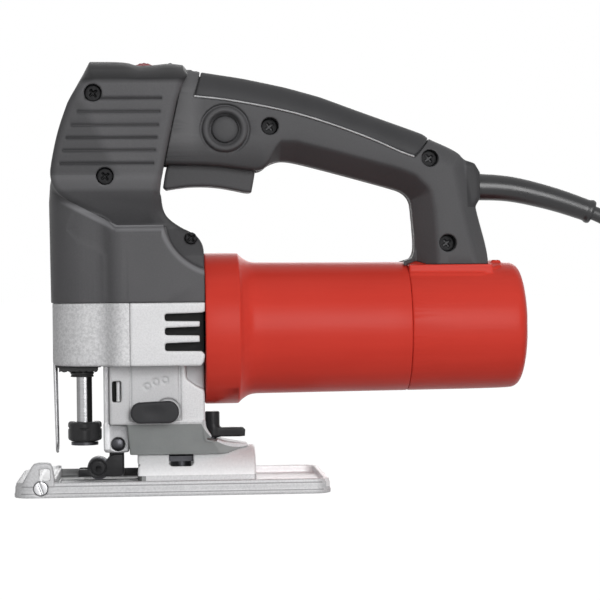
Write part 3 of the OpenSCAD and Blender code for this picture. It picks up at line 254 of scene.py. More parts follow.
cord_drop = [
    (159, 0, 131.5), (161, 0, 130.7), (165, 0, 128.8), (169.2, 0, 125.8), (172.8, 0, 122.2),
    (175.7, 0, 118), (177.9, 0, 113.4), (179.2, 0.1, 108.4), (179.6, 0.7, 103.3), (179.6, 2.2, 96.3),
    (179.6, 4.8, 88.6), (179.6, 7.9, 80.8), (179.6, 11.3, 73.1), (179.6, 14.8, 65.3), (179.6, 18.1, 57.6),
    (179.6, 20.9, 49.8), (179.6, 23, 42.1), (179.6, 24.1, 34.3), (180.4, 24.3, 27.7), (182.5, 24.7, 21.5),
    (186, 25.3, 15.9), (190.6, 26.1, 11.2), (196.1, 27.1, 7.7), (202.2, 28.2, 5.5), (208.7, 29.3, 4.8),
    (217.5, 30.9, 4.8),
]
cord_tail = [
    (199.4, -17, 29), (200.5, -9, 30.9), (203.6, -1.5, 32.6), (208.5, 4.9, 34.1), (214.9, 9.8, 35.3),
    (222.4, 12.9, 36.1), (228.6, 14, 36.4), (230.4, 14, 36.4),
]
coil_centre, coil_radius, coil_bottom = (235, -17), 50.2, 4.8
coil_starts_at, wound_degrees, step_degrees = 100, 2440, 116
beside, on_top = 7.3, 7.25


def wound(degrees):
    """Radius and height of the coil so many degrees on: lowest layer inwards, next outwards, top inwards."""
    steps_in = sum(smooth((degrees - at) / step_degrees) for at in (235, 595, 1925, 2285))
    steps_out = sum(smooth((degrees - at) / step_degrees) for at in (1120, 1480))
    climb = smooth((degrees - 876) / 78) + smooth((degrees - 1690) / 80)
    rise_to_plug = 17.1 * smooth((degrees - 2350) / 165)
    return coil_radius + beside * (steps_out - steps_in), coil_bottom + on_top * climb + rise_to_plug


coil = []
for degrees in range(0, wound_degrees, 5):
    r, z = wound(degrees)
    a = math.radians(coil_starts_at - degrees)
    coil.append((coil_centre[0] + r * math.cos(a), coil_centre[1] + r * math.sin(a), z))
cord_line = np.array(through(cord_drop, 5)[:-1] + coil + through(cord_tail, 5)) * mm
cord = bpy.data.objects.new("flex", bpy.data.curves.new("flex", "CURVE"))
bpy.context.scene.collection.objects.link(cord)
cord.data.dimensions = "3D"
strand = cord.data.splines.new("POLY")
strand.points.add(len(cord_line) - 1)
strand.points.foreach_set("co", np.column_stack([cord_line, np.ones(len(cord_line))]).ravel())
cord.data.bevel_depth = 3.5 * mm
cord.data.bevel_resolution = 4
cord.data.use_fill_caps = True
cord.data.materials.append(flex_rubber)
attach(cord, "housing")
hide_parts("cord", "cord_coil")

# --- Head halves -------------------------------------------------------------
# Two mouldings of glass-filled nylon, screwed together on the middle plane over the gearbox and plunger.
# A wide body, lower down, meets the motor flange; the ribbed panel above it is pinched in to its ledge.
def block(low, high, pitch):
    """The x, y and z of a block of points, ready to be spread over each other."""
    x, y, z = (np.arange(a, b + pitch, pitch, dtype=np.float32) for a, b in zip(low, high))
    return x[:, None, None], y[None, :, None], z[None, None, :]


def template(points, u, v, closed=True):
    """How far each place is from the edge of a flat template, negative inside it."""
    near, inside = 1e9, False
    p = np.array(points, float)
    for a, b in zip(p, np.roll(p, -1, 0)) if closed else zip(p, p[1:]):
        e = b - a
        t = np.clip(((u - a[0]) * e[0] + (v - a[1]) * e[1]) / (e @ e), 0, 1)
        near = np.minimum(near, np.hypot(u - a[0] - t * e[0], v - a[1] - t * e[1]))
        if closed and a[1] != b[1]:
            inside = inside ^ (((a[1] > v) != (b[1] > v)) & (u < a[0] + (v - a[1]) * e[0] / e[1]))
    return (np.where(inside, -near, near) if closed else near).astype(np.float32)


def eased(points, sharp=40, times=3):
    """An outline whose shallow corners are drawn out into curves."""
    p = np.array(points, float)
    for _ in range(times):
        made = []
        for a, b, c in zip(np.roll(p, 1, 0), p, np.roll(p, -1, 0)):
            u, v = b - a, c - b
            corner = abs(math.degrees(math.atan2(u[0] * v[1] - u[1] * v[0], u @ v)))
            made += [b] if corner > sharp or corner < 0.5 else [b - u / 4, b + v / 4]
        p = np.array(made)
    return p


def rolled(a, b, r):
    """What two forms share, with the edge between them rolled over by r."""
    return np.minimum(np.maximum(a + r, b + r), 0) + np.hypot(np.maximum(a + r, 0), np.maximum(b + r, 0)) - r


def joined(a, b, r=0.6):
    """Both forms together, with a fillet of about r in the corner between them."""
    h = np.clip(0.5 + 0.5 * (b - a) / r, 0, 1)
    return b + (a - b) * h - r * h * (1 - h)


def less(a, b, r=0.3):
    """The first form without the second, its new edges broken by about r."""
    return -joined(-a, b, r)


def slab(x, y, z, low, high, r):
    """A brick with rolled edges."""
    q = [np.abs(v - (a + b) / 2) - (b - a) / 2 + r for v, a, b in zip((x, y, z), low, high)]
    out = np.sqrt(sum(np.maximum(v, 0) ** 2 for v in q))
    return np.minimum(np.maximum(np.maximum(q[0], q[1]), q[2]), 0) + out - r


def pin(u, v, w, middle, r, low, high):
    """A round peg along w."""
    side = np.hypot(u - middle[0], v - middle[1]) - r
    return np.maximum(side, np.abs(w - (low + high) / 2) - (high - low) / 2)


def skin(field, origin, pitch):
    """The skin of a form, where its distances change sign: points in mm and faces of four."""
    inside = field < 0
    n = np.array(field.shape)
    corners = [(i, j, k) for i in (0, 1) for j in (0, 1) for k in (0, 1)]
    count = sum(inside[i:n[0] - 1 + i, j:n[1] - 1 + j, k:n[2] - 1 + k].astype(np.int8) for i, j, k in corners)
    cells = np.argwhere((count > 0) & (count < 8))
    total, hits = np.zeros((len(cells), 3)), np.zeros(len(cells))
    for axis in range(3):
        u, v = [k for k in range(3) if k != axis]
        for i in (0, 1):
            for j in (0, 1):
                a = cells.copy()
                a[:, u] += i
                a[:, v] += j
                b = a.copy()
                b[:, axis] += 1
                fa, fb = field[tuple(a.T)], field[tuple(b.T)]
                hit = (fa < 0) != (fb < 0)
                at = a.astype(float)
                at[hit, axis] += fa[hit] / (fa[hit] - fb[hit])
                total += at * hit[:, None]
                hits += hit
    points = origin + pitch * total / hits[:, None]
    number = np.full(n - 1, -1, np.int32)
    number[tuple(cells.T)] = np.arange(len(cells))
    faces = []
    for axis in range(3):
        u, v = [(1, 2), (2, 0), (0, 1)][axis]
        here, beyond = np.take(inside, range(n[axis] - 1), axis), np.take(inside, range(1, n[axis]), axis)
        change = np.argwhere(here != beyond)
        change = change[((change[:, [u, v]] > 0) & (change[:, [u, v]] < n[[u, v]] - 1)).all(1)]
        corner = []
        for i, j in ((0, 0), (1, 0), (1, 1), (0, 1)):
            c = change.copy()
            c[:, u] -= i
            c[:, v] -= j
            corner.append(number[tuple(c.T)])
        four = np.column_stack(corner)
        flip = ~inside[tuple(change.T)]
        four[flip] = four[flip, ::-1]
        faces.append(four)
    return points, np.vstack(faces)


def piece(name, points, faces, finish, body, nodes, keep=1.0, sharp=None):
    """A mesh from its points in mm, thinned to a share of its faces, with its finish, body and nodes.
    Edges turned by more than sharp degrees stay crisp."""
    mesh = bpy.data.meshes.new(name)
    corners = np.asarray(faces)
    mesh.vertices.add(len(points))
    mesh.vertices.foreach_set("co", (np.asarray(points) * mm).astype(np.float32).ravel())
    mesh.loops.add(corners.size)
    mesh.loops.foreach_set("vertex_index", corners.astype(np.int32).ravel())
    mesh.polygons.add(len(corners))
    mesh.polygons.foreach_set("loop_start", np.arange(0, corners.size, corners.shape[1], dtype=np.int32))
    mesh.polygons.foreach_set("use_smooth", np.full(len(corners), True))
    mesh.update(calc_edges=True)
    if sharp:
        mesh.set_sharp_from_angle(angle=math.radians(sharp))
    made = bpy.data.objects.new(name, mesh)
    bpy.context.scene.collection.objects.link(made)
    if keep < 1:
        thin = made.modifiers.new("thin", "DECIMATE")
        thin.ratio = keep
        thinned = bpy.data.meshes.new_from_object(made.evaluated_get(bpy.context.evaluated_depsgraph_get()))
        made.modifiers.clear()
        made.data = thinned
        thinned.polygons.foreach_set("use_smooth", np.full(len(thinned.polygons), True))
    made.data.materials.clear()
    made.data.materials.append(finish)
    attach(made, body)
    if nodes:
        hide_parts(*nodes)
    return made


def moulded(name, low, high, pitch, form, finish, body, nodes, keep=0.35):
    """A piece laid out as a form: a function of x, y and z that is negative inside."""
    x, y, z = block(low, high, pitch)
    field = np.broadcast_to(form(x, y, z), (x.size, y.size, z.size)).astype(np.float32)
    step = float(x[1, 0, 0] - x[0, 0, 0])
    points, faces = skin(field, np.array(low, float), step)
    return piece(name, points, faces, finish, body, nodes, keep)


def spot(ink):
    """The x, y and z of each place on a piece, in metres."""
    place = ink.node("SeparateXYZ", sockets={0: ink.node("TexCoord", output="Object")}).socket.node
    return [Ink(ink.tree, output) for output in place.outputs]


def painted(ink, mask, under, over):
    """The colour under, with over where the mask is 1."""
    return ink.node("Mix", {"data_type": "RGBA"}, {0: mask, 6: under, 7: over}, output=2)


def nylon(name, dark, light, roughness=0.52, depth=0.035, painted_light=None):
    """Dark glass-filled nylon from a spark-eroded mould: a fine even grain, and any painted light and shade
    it is given.
    """
    finish, ink, surface = finish_named(name, roughness=roughness, shine=0.13)
    cloud, speck = grain(ink, 26, 3), grain(ink, 0.7, 2)
    colour = tinted(ink, cloud * 0.55 + speck * 0.45, dark, light)
    # painted light and shade, where a function for it is given
    if painted_light:
        colour = painted_light(ink, colour, *spot(ink))
    lay_on(surface, "Base Color", colour)
    lay_on(surface, "Roughness", cloud * 0.14 + (roughness - 0.07))
    lay_on(surface, "Normal", relief(ink, grain(ink, 0.45, 3, 0.6), depth))
    return finish


head_screws = [(-82.8, 188.5), (-77.6, 149.5), (-37.6, 120.2)]
rib_heights = (185.9, 179.6, 173.3, 167.4, 161.5, 155.4)
# the light grey of the head's painted highlights
painted_highlight = (0.26, 0.26, 0.27, 1)


def soft_step(ink, value, width):
    """0 below zero and 1 above it, with a soft change over the width."""
    return ink.node("Clamp", sockets={0: value * (1 / width) + 0.5})


def strongest(ink, first, *others):
    """The highest of several masks at each place."""
    for other in others:
        first = ink.math("MAXIMUM", first, other)
    return first


def head_light_and_shade(ink, colour, x, y, z):
    """Painted shade darkens the hollows of the head, its crown, its upper front and its rib grooves; painted
    highlights lighten the long shoulder's lip and the band where the panel turns in.
    """
    out = abs(y)
    ledge = z - ink.math("MAXIMUM", (x + 0.0725) * -0.52, 0.0) - 0.1262
    panel = out < 0.0296
    on_panel = panel * (ledge > 0.0002)
    web = (out < 0.0288) * (x > -0.0535) * (z < 0.130)
    in_corner = on_panel * soft_step(ink, 0.1445 - z, 0.012)
    in_corner = in_corner * soft_step(ink, z - 0.131 + (x + 0.078) * 0.2, 0.02)
    over_ledge = on_panel * soft_step(ink, 0.143 - z, 0.010)
    on_crown = soft_step(ink, z - 0.1938, 0.0022)
    up_front = soft_step(ink, (x + 0.0900) * -1.0 + (z - 0.190) * -0.45, 0.005) * (z > 0.150) * panel
    # painted shade: in the corner over the ledge, on the web, on the crown, up the front and in each rib
    # groove
    painted_shade = strongest(ink, in_corner * 0.5, over_ledge * 0.42, web * 0.45, on_crown * 0.86, up_front * 0.35)
    for i, rib in enumerate(rib_heights):
        front, rear = -0.0865 - 0.0039 * i + 0.0003 * i * i, -0.0506 - 0.0008 * i
        groove = (abs(z - rib * mm) < 0.0005) * (x > front) * (x < rear) * (out > 0.025)
        painted_shade = strongest(ink, painted_shade, groove * 0.6)
    colour = painted(ink, painted_shade, colour, (0.022, 0.022, 0.023, 1))
    # painted highlights: a lip along the ledge and its rear curve, and a band where the panel turns in
    from_bend = ((x + 0.022) ** 2.0 + (z - 0.133) ** 2.0) ** 0.5
    rear_lip = soft_step(ink, from_bend - 0.0296, 0.0006) * soft_step(ink, 0.0316 - from_bend, 0.0012)
    rear_lip = rear_lip * (z < 0.1262) * (x > -0.0515)
    front_lip = soft_step(ink, ledge + 0.0026, 0.0012) * (ledge < 0.0004) * (x < -0.0505)
    front_lip = front_lip * soft_step(ink, x + 0.0970, 0.006)
    lip = strongest(ink, rear_lip, front_lip) * (out > 0.015) * 0.6
    turned_in = on_panel * soft_step(ink, z - 0.1430, 0.002) * soft_step(ink, 0.1500 - z, 0.003)
    turned_in = turned_in * (x < -0.0505)
    return painted(ink, lip, painted(ink, turned_in * 0.22, colour, painted_highlight), painted_highlight)


head_nylon = nylon("head_nylon", (0.080, 0.080, 0.084), (0.132, 0.130, 0.135), painted_light=head_light_and_shade)
head_upper = eased([
    (-100.4, 141.5), (-91, 136), (-84, 132.9), (-77.8, 129.9), (-73.2, 125.8), (-52.4, 125.8),
    (-51.8, 146), (-50.1, 154.8), (-41.6, 194.6), (-38.2, 201.4), (-40.4, 203.9), (-46.8, 204.8),
    (-55.1, 203.8), (-62.7, 203.6), (-67.5, 205.5), (-84.8, 205.6), (-88.2, 199.0), (-90.8, 194.3),
    (-95.0, 183.7), (-99.6, 170.8), (-102.5, 157.5), (-103.6, 149.2),
])
body_side = eased([
    (-118, 80), (-20, 80), (-20, 101.5), (-31.5, 105.1), (-41.1, 110.3), (-47.1, 117.4), (-49.6, 125.5),
    (-73.2, 125.5), (-77.8, 129.9), (-84, 132.9), (-91, 136), (-97.6, 139.2), (-101.4, 146), (-104, 160),
    (-118, 166),
])
core_side = eased([
    (-118, 80), (-20, 80), (-20, 112.9), (-31.5, 113.6), (-32, 117.2), (-34.4, 121.2), (-38.4, 123.7),
    (-42, 125.3), (-47.7, 129.2), (-50.4, 133), (-51.8, 140), (-102.9, 149.2), (-118, 152),
])
body_plan = eased([
    (-20, -33), (-69.5, -33), (-72.7, -32.4), (-75, -31), (-77, -28.8), (-79, -26.6), (-81.5, -25.2),
    (-85, -24.5), (-92.3, -22.9), (-99.2, -17.8), (-103.6, -10.5), (-105.3, 0), (-103.6, 10.5),
    (-99.2, 17.8), (-92.3, 22.9), (-85, 24.5), (-81.5, 25.2), (-79, 26.6), (-77, 28.8), (-75, 31),
    (-72.7, 32.4), (-69.5, 33), (-20, 33),
])
dial_slot = (-68, -5.4, 188), (-49.8, 5.4, 214)
dial_bosses = (-71.5, -46.3)
trigger_slot = (-51.2, -8.3, 128), (-4, 8.3, 169.2)
parting = 0.06


def head_form(side):
    """One half of the head, -1 for the left and 1 for the right, with a hair's breadth between them."""
    def form(x, y, z):
        out = np.abs(y)
        pinch = 29 - 10 * np.clip((149 - z) / 24, 0, 1) ** 1.5 - 4 * np.clip((z - 195.5) / 9, 0, 1)
        crown = y * y / 105 * np.clip((z - 184) / 16, 0, 1)
        edge = 3 + 5 * np.clip((z - 188) / 14, 0, 1)
        edge = edge + 3 * np.clip((152 - z) / 8, 0, 1) * np.clip((x + 62) / 8, 0, 1)
        panel = rolled(template(head_upper, x, z + crown), out - pinch, edge)
        lean = np.interp(z, (90, 110, 138, 152, 163), (0.8, 0.6, 0.35, 1.3, 3.4)).astype(np.float32)
        plan = template(body_plan, x - lean, y)
        body = rolled(template(body_side, x, z), plan, 3.6)
        web = np.interp(z, (90, 112, 125, 133, 149), (26.5, 26.5, 19.5, 21.6, 28.6)).astype(np.float32)
        core = rolled(template(core_side, x, z), np.maximum(plan, out - web), 3)
        whole = joined(joined(body, core, 2.4), panel, 2.0)
        for i, rib in enumerate(rib_heights):
            groove = np.hypot(np.abs(z - rib), (out - 29) * 0.8) - 0.8
            ends = np.maximum(-(x + 86.5 + 3.9 * i - 0.3 * i * i), x + 50.6 + 0.8 * i)
            whole = less(whole, np.maximum(groove, ends), 0.3)
        shell = np.maximum(whole, -np.maximum(whole + 2.5, x + 34.2))
        shell = np.maximum(shell, np.maximum(90.05 - z, x + 31.6))
        shell = np.maximum(shell, side * -y + parting)
        if side < 0:
            for screw in head_screws[:2]:
                shell = less(shell, pin(x, z, y, screw, 4.1, -40, -25), 0.5)
            shell = less(shell, pin(x, z, y, head_screws[2], 2.9, -40, -19), 0.5)
        shell = less(shell, slab(x, y, z, *dial_slot, 1), 0.5)
        shell = less(shell, slab(x, y, z, *trigger_slot, 0.6), 0.3)
        for at in dial_bosses:
            boss = np.sqrt((x - at) ** 2 + (y * 0.5) ** 2 + (z - 204.2) ** 2) - 1.1
            shell = joined(shell, boss, 0.8)
        return np.maximum(shell, side * -y + parting)
    return form


moulded("left_head_half", (-106, -34, 89.4), (-31, 0.6, 207), 0.5, head_form(-1),
        head_nylon, "housing", ["left_head_shell"], 0.25)
moulded("right_head_half", (-106, -0.6, 89.4), (-31, 34, 207), 0.5, head_form(1),
        head_nylon, "housing", ["right_head_shell"], 0.25)

# --- Handle halves -----------------------------------------------------------
# Two mouldings of the same nylon as the head, screwed together round the switch and the cord clamp.
# The sides run flat to a long facet on the underside; the foot sits on the motor's end cap.
def handle_light_and_shade(ink, colour, x, y, z):
    """Painted shade darkens the handle low down by the trigger, on the raised ring round the cord and on
    faces that look down; a painted highlight lightens the front of its top.
    """
    low = soft_step(ink, 0.1615 - z, 0.012) * soft_step(ink, 0.002 - x, 0.012) * 0.42
    collar = soft_step(ink, x - 0.0955, 0.0008) * (z > 0.1342) * (z < 0.1562) * 0.5
    faces = ink.node("SeparateXYZ", sockets={0: ink.node("NewGeometry", output="Normal")}).socket.node.outputs
    under = soft_step(ink, -0.35 - Ink(ink.tree, faces[2]), 0.3) * (z > 0.1085) * 0.45
    # painted shade: low down by the trigger, on the collar and on faces that look down
    painted_shade = strongest(ink, low, collar, under)
    # painted highlight: lighter on the front of the handle's top
    painted_light = soft_step(ink, -0.0335 - x, 0.006) * soft_step(ink, z - 0.163, 0.008) * 0.3
    colour = painted(ink, painted_light, colour, (0.22, 0.22, 0.225, 1))
    return painted(ink, painted_shade, colour, (0.018, 0.018, 0.019, 1))


handle_nylon = nylon("handle_nylon", (0.066, 0.066, 0.069), (0.110, 0.109, 0.113), painted_light=handle_light_and_shade)
handle_side = eased([
    (-54, 155.6), (-27, 155.3), (-7.4, 152.4), (-3.2, 152.6), (0.7, 156), (5.9, 157.4), (12, 156.8),
    (25, 153.5), (42.2, 148.8), (59.7, 143.9), (65.4, 142.0), (69.0, 138.2), (69.8, 132.4), (71.2, 113.4),
    (69.2, 109.9), (64.8, 108.4), (64.8, 98), (104.2, 98), (107.0, 108.6), (100.2, 133.6), (100.0, 138),
    (99.9, 150.8), (98.9, 155.3), (94.0, 157.6), (91.2, 161.0), (85.9, 163.9), (78.4, 167.2),
    (74.7, 169.9), (60, 175.2), (42.5, 181.5), (25.4, 187.9), (8.1, 192.7), (-12.7, 197.1), (-29.8, 199.6),
    (-35, 200.8), (-42, 202), (-46, 196),
])
underside = [
    (-54, 155.6), (-27, 155.3), (-7.4, 152.4), (-1, 152.5), (5.5, 157), (12, 156.8), (25, 153.5),
    (42.2, 148.8), (59.7, 143.9), (65.5, 141.6), (69.2, 138), (70.2, 132), (71.4, 113.4), (71.4, 95),
]
back_edge = [(91, 172), (95, 160), (100.3, 133.6), (107.6, 106), (109.4, 98)]
top_line = [
    (-60, 203), (-35.4, 200.6), (-12.7, 197.1), (8.1, 192.7), (25.4, 187.9), (42.5, 181.5), (60, 175.2),
    (74.7, 169.9), (78.4, 167.2), (85.9, 163.9), (96, 159), (110, 152),
]
pad_line = [
    (-60, 190.4), (-35.3, 187.6), (-20.3, 185.9), (-1.6, 182.6), (15.4, 178.6), (32.3, 173.2),
    (49.5, 166.7), (63.2, 160.6), (69.6, 158.3),
]
pad_edge = pad_line[1:] + [(72, 160.4), (79.2, 169.2), (84, 182), (10, 215), (-30, 215), (-31.8, 199)]
pad_edge = eased(pad_edge, 60)
collar_side = [(90, 134.4), (99.9, 134.4), (102.4, 138.5), (102.4, 151), (99.8, 155.4), (90, 158.2)]
handle_screws = [(0.6, 173.3), (77.2, 157.6), (85.4, 116.9)]
cord_exit_z = 144.4
lock_x, lock_z = -20.8, 171.9
motor_z, cap_seam_x = 77, 66.5


def grip(x, y, z):
    """The whole handle before it is parted: sides, underside facet, rear facet, domed top and the collar."""
    side = template(handle_side, x, z)
    under = template(underside, x, z, closed=False)
    top = template(top_line, x, z, closed=False)
    out = np.abs(y) - 17.5 + 2.6 * np.clip((15 - under) / 15, 0, 1) ** 2
    facet = (9.2 * np.clip((x + 3) / 9, 0, 1) - under + out) * 0.72
    form = rolled(side, out, 2)
    form = -joined(-form, -np.where(x < -8, -5, facet), 1.1)
    back = (7.5 - template(back_edge, x, z, closed=False) + out) * 0.74
    form = -joined(-form, -back, 1.6)
    dome = rolled(-top, out, 11.5)
    form = np.where(top < 13, np.maximum(form, dome), form)
    return joined(form, rolled(template(collar_side, x, z), out + 5.5, 2.6), 0.7)


def mould_draft(x):
    """How much the end cap narrows from its seam to its end, so that it leaves the mould."""
    return 0.5 * (x - cap_seam_x) / 59.6


def handle_form(side):
    """One half of the handle, hollow inside the grip, with its screw posts and room for its neighbours."""
    def form(x, y, z):
        whole = grip(x, y, z)
        under_pad = np.maximum(template(pad_edge, x, z) - 0.25, -(whole + 2.2))
        shell = less(whole, under_pad, 0.3)
        hollow = np.maximum(whole + 4.7, np.maximum(-56 - x, x - 98))
        shell = np.maximum(shell, -hollow)
        for screw in handle_screws:
            post = pin(x, z, y, screw, 5.2, -17.4, 17.4)
            shell = joined(shell, np.maximum(post, whole + 0.2), 0.4)
            if side < 0:
                shell = less(shell, pin(x, z, y, screw, 4.1, -40, -10.8), 0.4)
        shell = less(shell, slab(x, y, z, trigger_slot[0], (-5.2, 8.3, 169.2), 0.6), 0.4)
        if side < 0:
            around = np.hypot(x - lock_x, z - lock_z)
            shell = less(shell, np.maximum(np.abs(around - 11.3) - 0.6, y + 16.5), 0.4)
            ring = np.hypot((around - 9.2) / 1.05, (y + 17.1) * 0.9) - 1.5
            shell = joined(shell, ring, 0.3)
            shell = less(shell, pin(x, z, y, (lock_x, lock_z), 7.35, -40, -16.4), 0.4)
            shell = less(shell, pin(x, z, y, (lock_x, lock_z), 6.5, -40, -8), 0.1)
        cord_seat = np.hypot(y, z - cord_exit_z + np.maximum(x - 104, 0) * 0.1) - 7
        shell = np.maximum(shell, -np.maximum(cord_seat, 94 - x))
        end_cap = np.maximum(np.hypot(y, z - motor_z) - (31.8 - mould_draft(x)), 60 - x)
        shell = np.maximum(shell, parting - end_cap)
        shell = np.maximum(shell, np.where(x > 66.8, 106.8 - z, -40))
        head_back = -(template(head_upper, x, z) - np.where(np.abs(y) < 11, -0.4, 0.3))
        shell = np.maximum(shell, head_back)
        return np.maximum(shell, side * -y + parting)
    return form


moulded("left_handle_half", (-51, -20, 96), (109, 0.6, 202), 0.5, handle_form(-1),
        handle_nylon, "housing", ["left_handle_shell"], 0.28)
moulded("right_handle_half", (-51, -0.6, 96), (109, 20, 202), 0.5, handle_form(1),
        handle_nylon, "housing", ["right_handle_shell"], 0.28)

# --- Soft grip ---------------------------------------------------------------
# A pad of soft rubber moulded over the back of the handle, with its lip along both sides.
# The lip is a thin bead where the rubber was pressed out against the nylon; its light grey is a painted
# highlight.
soft_rubber, ink, surface = finish_named("soft_rubber", roughness=0.5, shine=0.12)
lay_on(surface, "Base Color", tinted(ink, grain(ink, 20, 3), (0.044, 0.044, 0.046), (0.066, 0.066, 0.069)))
lay_on(surface, "Normal", relief(ink, grain(ink, 0.55, 3), 0.05))


def pad_form(x, y, z):
    whole = grip(x, y, z)
    pad = rolled(np.maximum(whole, -(whole + 2.1)), template(pad_edge, x, z) + 0.25, 0.5)
    pad = np.maximum(pad, 0.3 - template(head_upper, x, z))
    for screw in handle_screws:
        pad = less(pad, pin(x, z, y, screw, 4.4, -40, 0), 0.4)
    return pad


moulded("grip_rubber", (-37, -18.5, 155), (84, 18.5, 202), 0.5, pad_form,
        soft_rubber, "housing", ["grip_pad"], 0.28)

# The lip's light grey is a painted highlight, for the glint along it.
painted_lip_glint, ink, surface = finish_named("painted_lip_glint", roughness=0.35)
lay_on(surface, "Base Color", tinted(ink, grain(ink, 6, 2), (0.24, 0.24, 0.245), (0.55, 0.55, 0.56)))


def bead(name, line, r, finish, body, nodes, around=10):
    """A round bar with flat ends along a line of points in mm; r may be one radius or one for each point."""
    p = np.array(line, float)
    r = np.broadcast_to(np.asarray(r, float), len(p))
    ahead = np.gradient(p, axis=0)
    ahead /= np.linalg.norm(ahead, axis=1)[:, None]
    last = np.array([0.0, 1, 0]) if abs(ahead[0][1]) < 0.9 else np.array([1.0, 0, 0])
    rings = []
    for middle, way, radius in zip(p, ahead, r):
        last = last - way * (last @ way)
        last /= np.linalg.norm(last)
        turns = 2 * math.pi * np.arange(around)[:, None] / around
        rings.append(middle + radius * (np.cos(turns) * last + np.sin(turns) * np.cross(way, last)))
    k = np.arange(len(p) - 1)[:, None] * around
    j = np.arange(around)
    n = (j + 1) % around
    last_ring, start, end = (len(p) - 1) * around, len(p) * around, len(p) * around + 1
    faces = [np.stack([k + j, k + n, k + around + n], -1).reshape(-1, 3)]
    faces += [np.stack([k + j, k + around + n, k + around + j], -1).reshape(-1, 3)]
    faces += [np.stack([n, j, np.full(around, start)], -1)]
    faces += [np.stack([last_ring + j, last_ring + n, np.full(around, end)], -1)]
    points = np.vstack(rings + [p[:1], p[-1:]])
    return piece(name, points, np.vstack(faces), finish, body, nodes, sharp=50)


for side, name in ((-1, "pad_lip_left"), (1, "pad_lip_right")):
    lip = [(x, side * 17.45, z + 0.1) for x, z in through(pad_line[1:], 3)]
    bead(name, lip, 0.44, painted_lip_glint, "housing", ["grip_pad"], 8)

# --- Motor tube --------------------------------------------------------------
# One deep cup of glossy red polyamide round the motor, with a flange that is screwed to the gear case.
# It is turned about the motor's axis, with the draft of its mould and a fillet behind the flange.
red_plastic, ink, surface = finish_named("red_polyamide", roughness=0.36, shine=0.1)
flow = grain(ink, 5, 4, 0.6, (0.05, 1, 1))
cloud = grain(ink, 30, 2)
streaks = flow * 0.6 + cloud * 0.4
lay_on(surface, "Base Color", tinted(ink, streaks, (0.60, 0.040, 0.026), (0.72, 0.060, 0.040)))
lay_on(surface, "Roughness", flow * 0.16 + 0.29)
lay_on(surface, "Normal", relief(ink, flow * 0.7 + grain(ink, 0.9, 2) * 0.12, 0.10))


def turned(name, profile, base, axis, finish, body, nodes, around=120, sharp=38):
    """A piece turned on a lathe. Its profile is a closed line of [distance along the axis, radius] points."""
    p = np.array(profile, float)
    angles = 2 * math.pi * np.arange(around) / around
    i = "xyz".index(axis)
    rings = np.zeros((len(p), around, 3)) + np.array(base, float)
    rings[:, :, i] += p[:, 0, None]
    rings[:, :, (i + 1) % 3] += p[:, 1, None] * np.cos(angles)
    rings[:, :, (i + 2) % 3] += p[:, 1, None] * np.sin(angles)
    number = np.arange(len(p))[:, None] * around + np.where(p[:, 1, None] > 0, np.arange(around), 0)
    a, b = number, np.roll(number, -1, 0)
    c, d = np.roll(b, -1, 1), np.roll(a, -1, 1)
    faces = np.vstack([np.stack([a, c, b], -1).reshape(-1, 3), np.stack([a, d, c], -1).reshape(-1, 3)])
    faces = faces[(faces[:, 0] != faces[:, 1]) & (faces[:, 1] != faces[:, 2]) & (faces[:, 2] != faces[:, 0])]
    used, faces = np.unique(faces, return_inverse=True)
    points = rings.reshape(-1, 3)[used]
    return piece(name, points, faces.reshape(-1, 3), finish, body, nodes, sharp=sharp)


def rounded_corner(x, r, turn_from, turn_to, size, steps=6):
    """Points of a quarter round on a profile, about the centre x, r."""
    turns = np.radians(np.linspace(turn_from, turn_to, steps))
    return [(x + size * math.cos(a), r + size * math.sin(a)) for a in turns]


flange_x, tube_bore = -31.35, 28.2
tube = [(flange_x, tube_bore), (flange_x, 35.5)] + rounded_corner(flange_x + 0.9, 35.45, 180, 90, 0.9)
tube += [(-24, 36.35), (-15.8, 36.3)] + rounded_corner(-15.8, 34.9, 90, 25, 1.4)
tube += [(-13.2, 34.3), (-11.6, 33.2), (-10.1, 32.4), (-8.4, 31.95), (-6.6, 31.74), (-4.7, 31.7), (20, 31.5)]
tube += [(50, 31.28)] + rounded_corner(cap_seam_x - 0.5, 30.68, 90, 0, 0.5, 4) + [(cap_seam_x, 29.6)]
tube += [(x, tube_bore) for x in (cap_seam_x, 50, 20, 0)]
turned("motor_cup", tube[::-1], (0, 0, motor_z), "x", red_plastic, "housing", ["motor_tube"])

# --- Motor end cap -----------------------------------------------------------
# A short cup of the same plastic closes the tube and carries the rear bearing.
# A low seat on its crown takes the handle's foot, with a small rest behind it.
cap_front = cap_seam_x + 0.12
cap_side = eased([
    (cap_front, -5), (cap_front, 31.15), (116.4, 30.75), (119.8, 29.6), (121.7, 27), (123.1, 21),
    (123.9, 13.9), (124.4, 3), (124.4, -5),
], 60)
seat_plan = [(60, -19.2), (101.7, -19.2), (112, -11.7), (113.4, 0), (112, 11.7), (101.7, 19.2), (60, 19.2)]
cap_screw_y = 20


def cap_form(x, y, z):
    out = np.hypot(y, z - motor_z)
    whole = np.maximum(template(cap_side, x, out), cap_front - x)
    seat = rolled(out - (31.78 - mould_draft(x)), np.maximum(template(seat_plan, x, y), cap_front - x), 0.5)
    seat = joined(seat, slab(x, y, z, (60, -17.75, 90), (106.9, 17.75, 106.72), 0.4), 0.5)
    whole = joined(whole, np.where(z > motor_z, np.maximum(seat, cap_front - x), 9), 0.4)
    whole = joined(whole, slab(x, y, z, (107.9, -8, 97), (112.4, 8, 108.7), 0.9), 0.8)
    shell = np.maximum(whole, -np.maximum(whole + 3, x - 112))
    for at in (-cap_screw_y, cap_screw_y):
        shell = less(shell, pin(y, z, x, (at, motor_z), 4.1, 120.1, 140), 0.5)
    ring = np.maximum(np.abs(out - 14.2) - 3.2, np.abs(x - 106) - 6)
    return joined(shell, ring, 0.5)


moulded("motor_end", (66, -32, 44), (127, 32, 110), 0.6, cap_form,
        red_plastic, "housing", ["motor_end_cap"], 0.22)
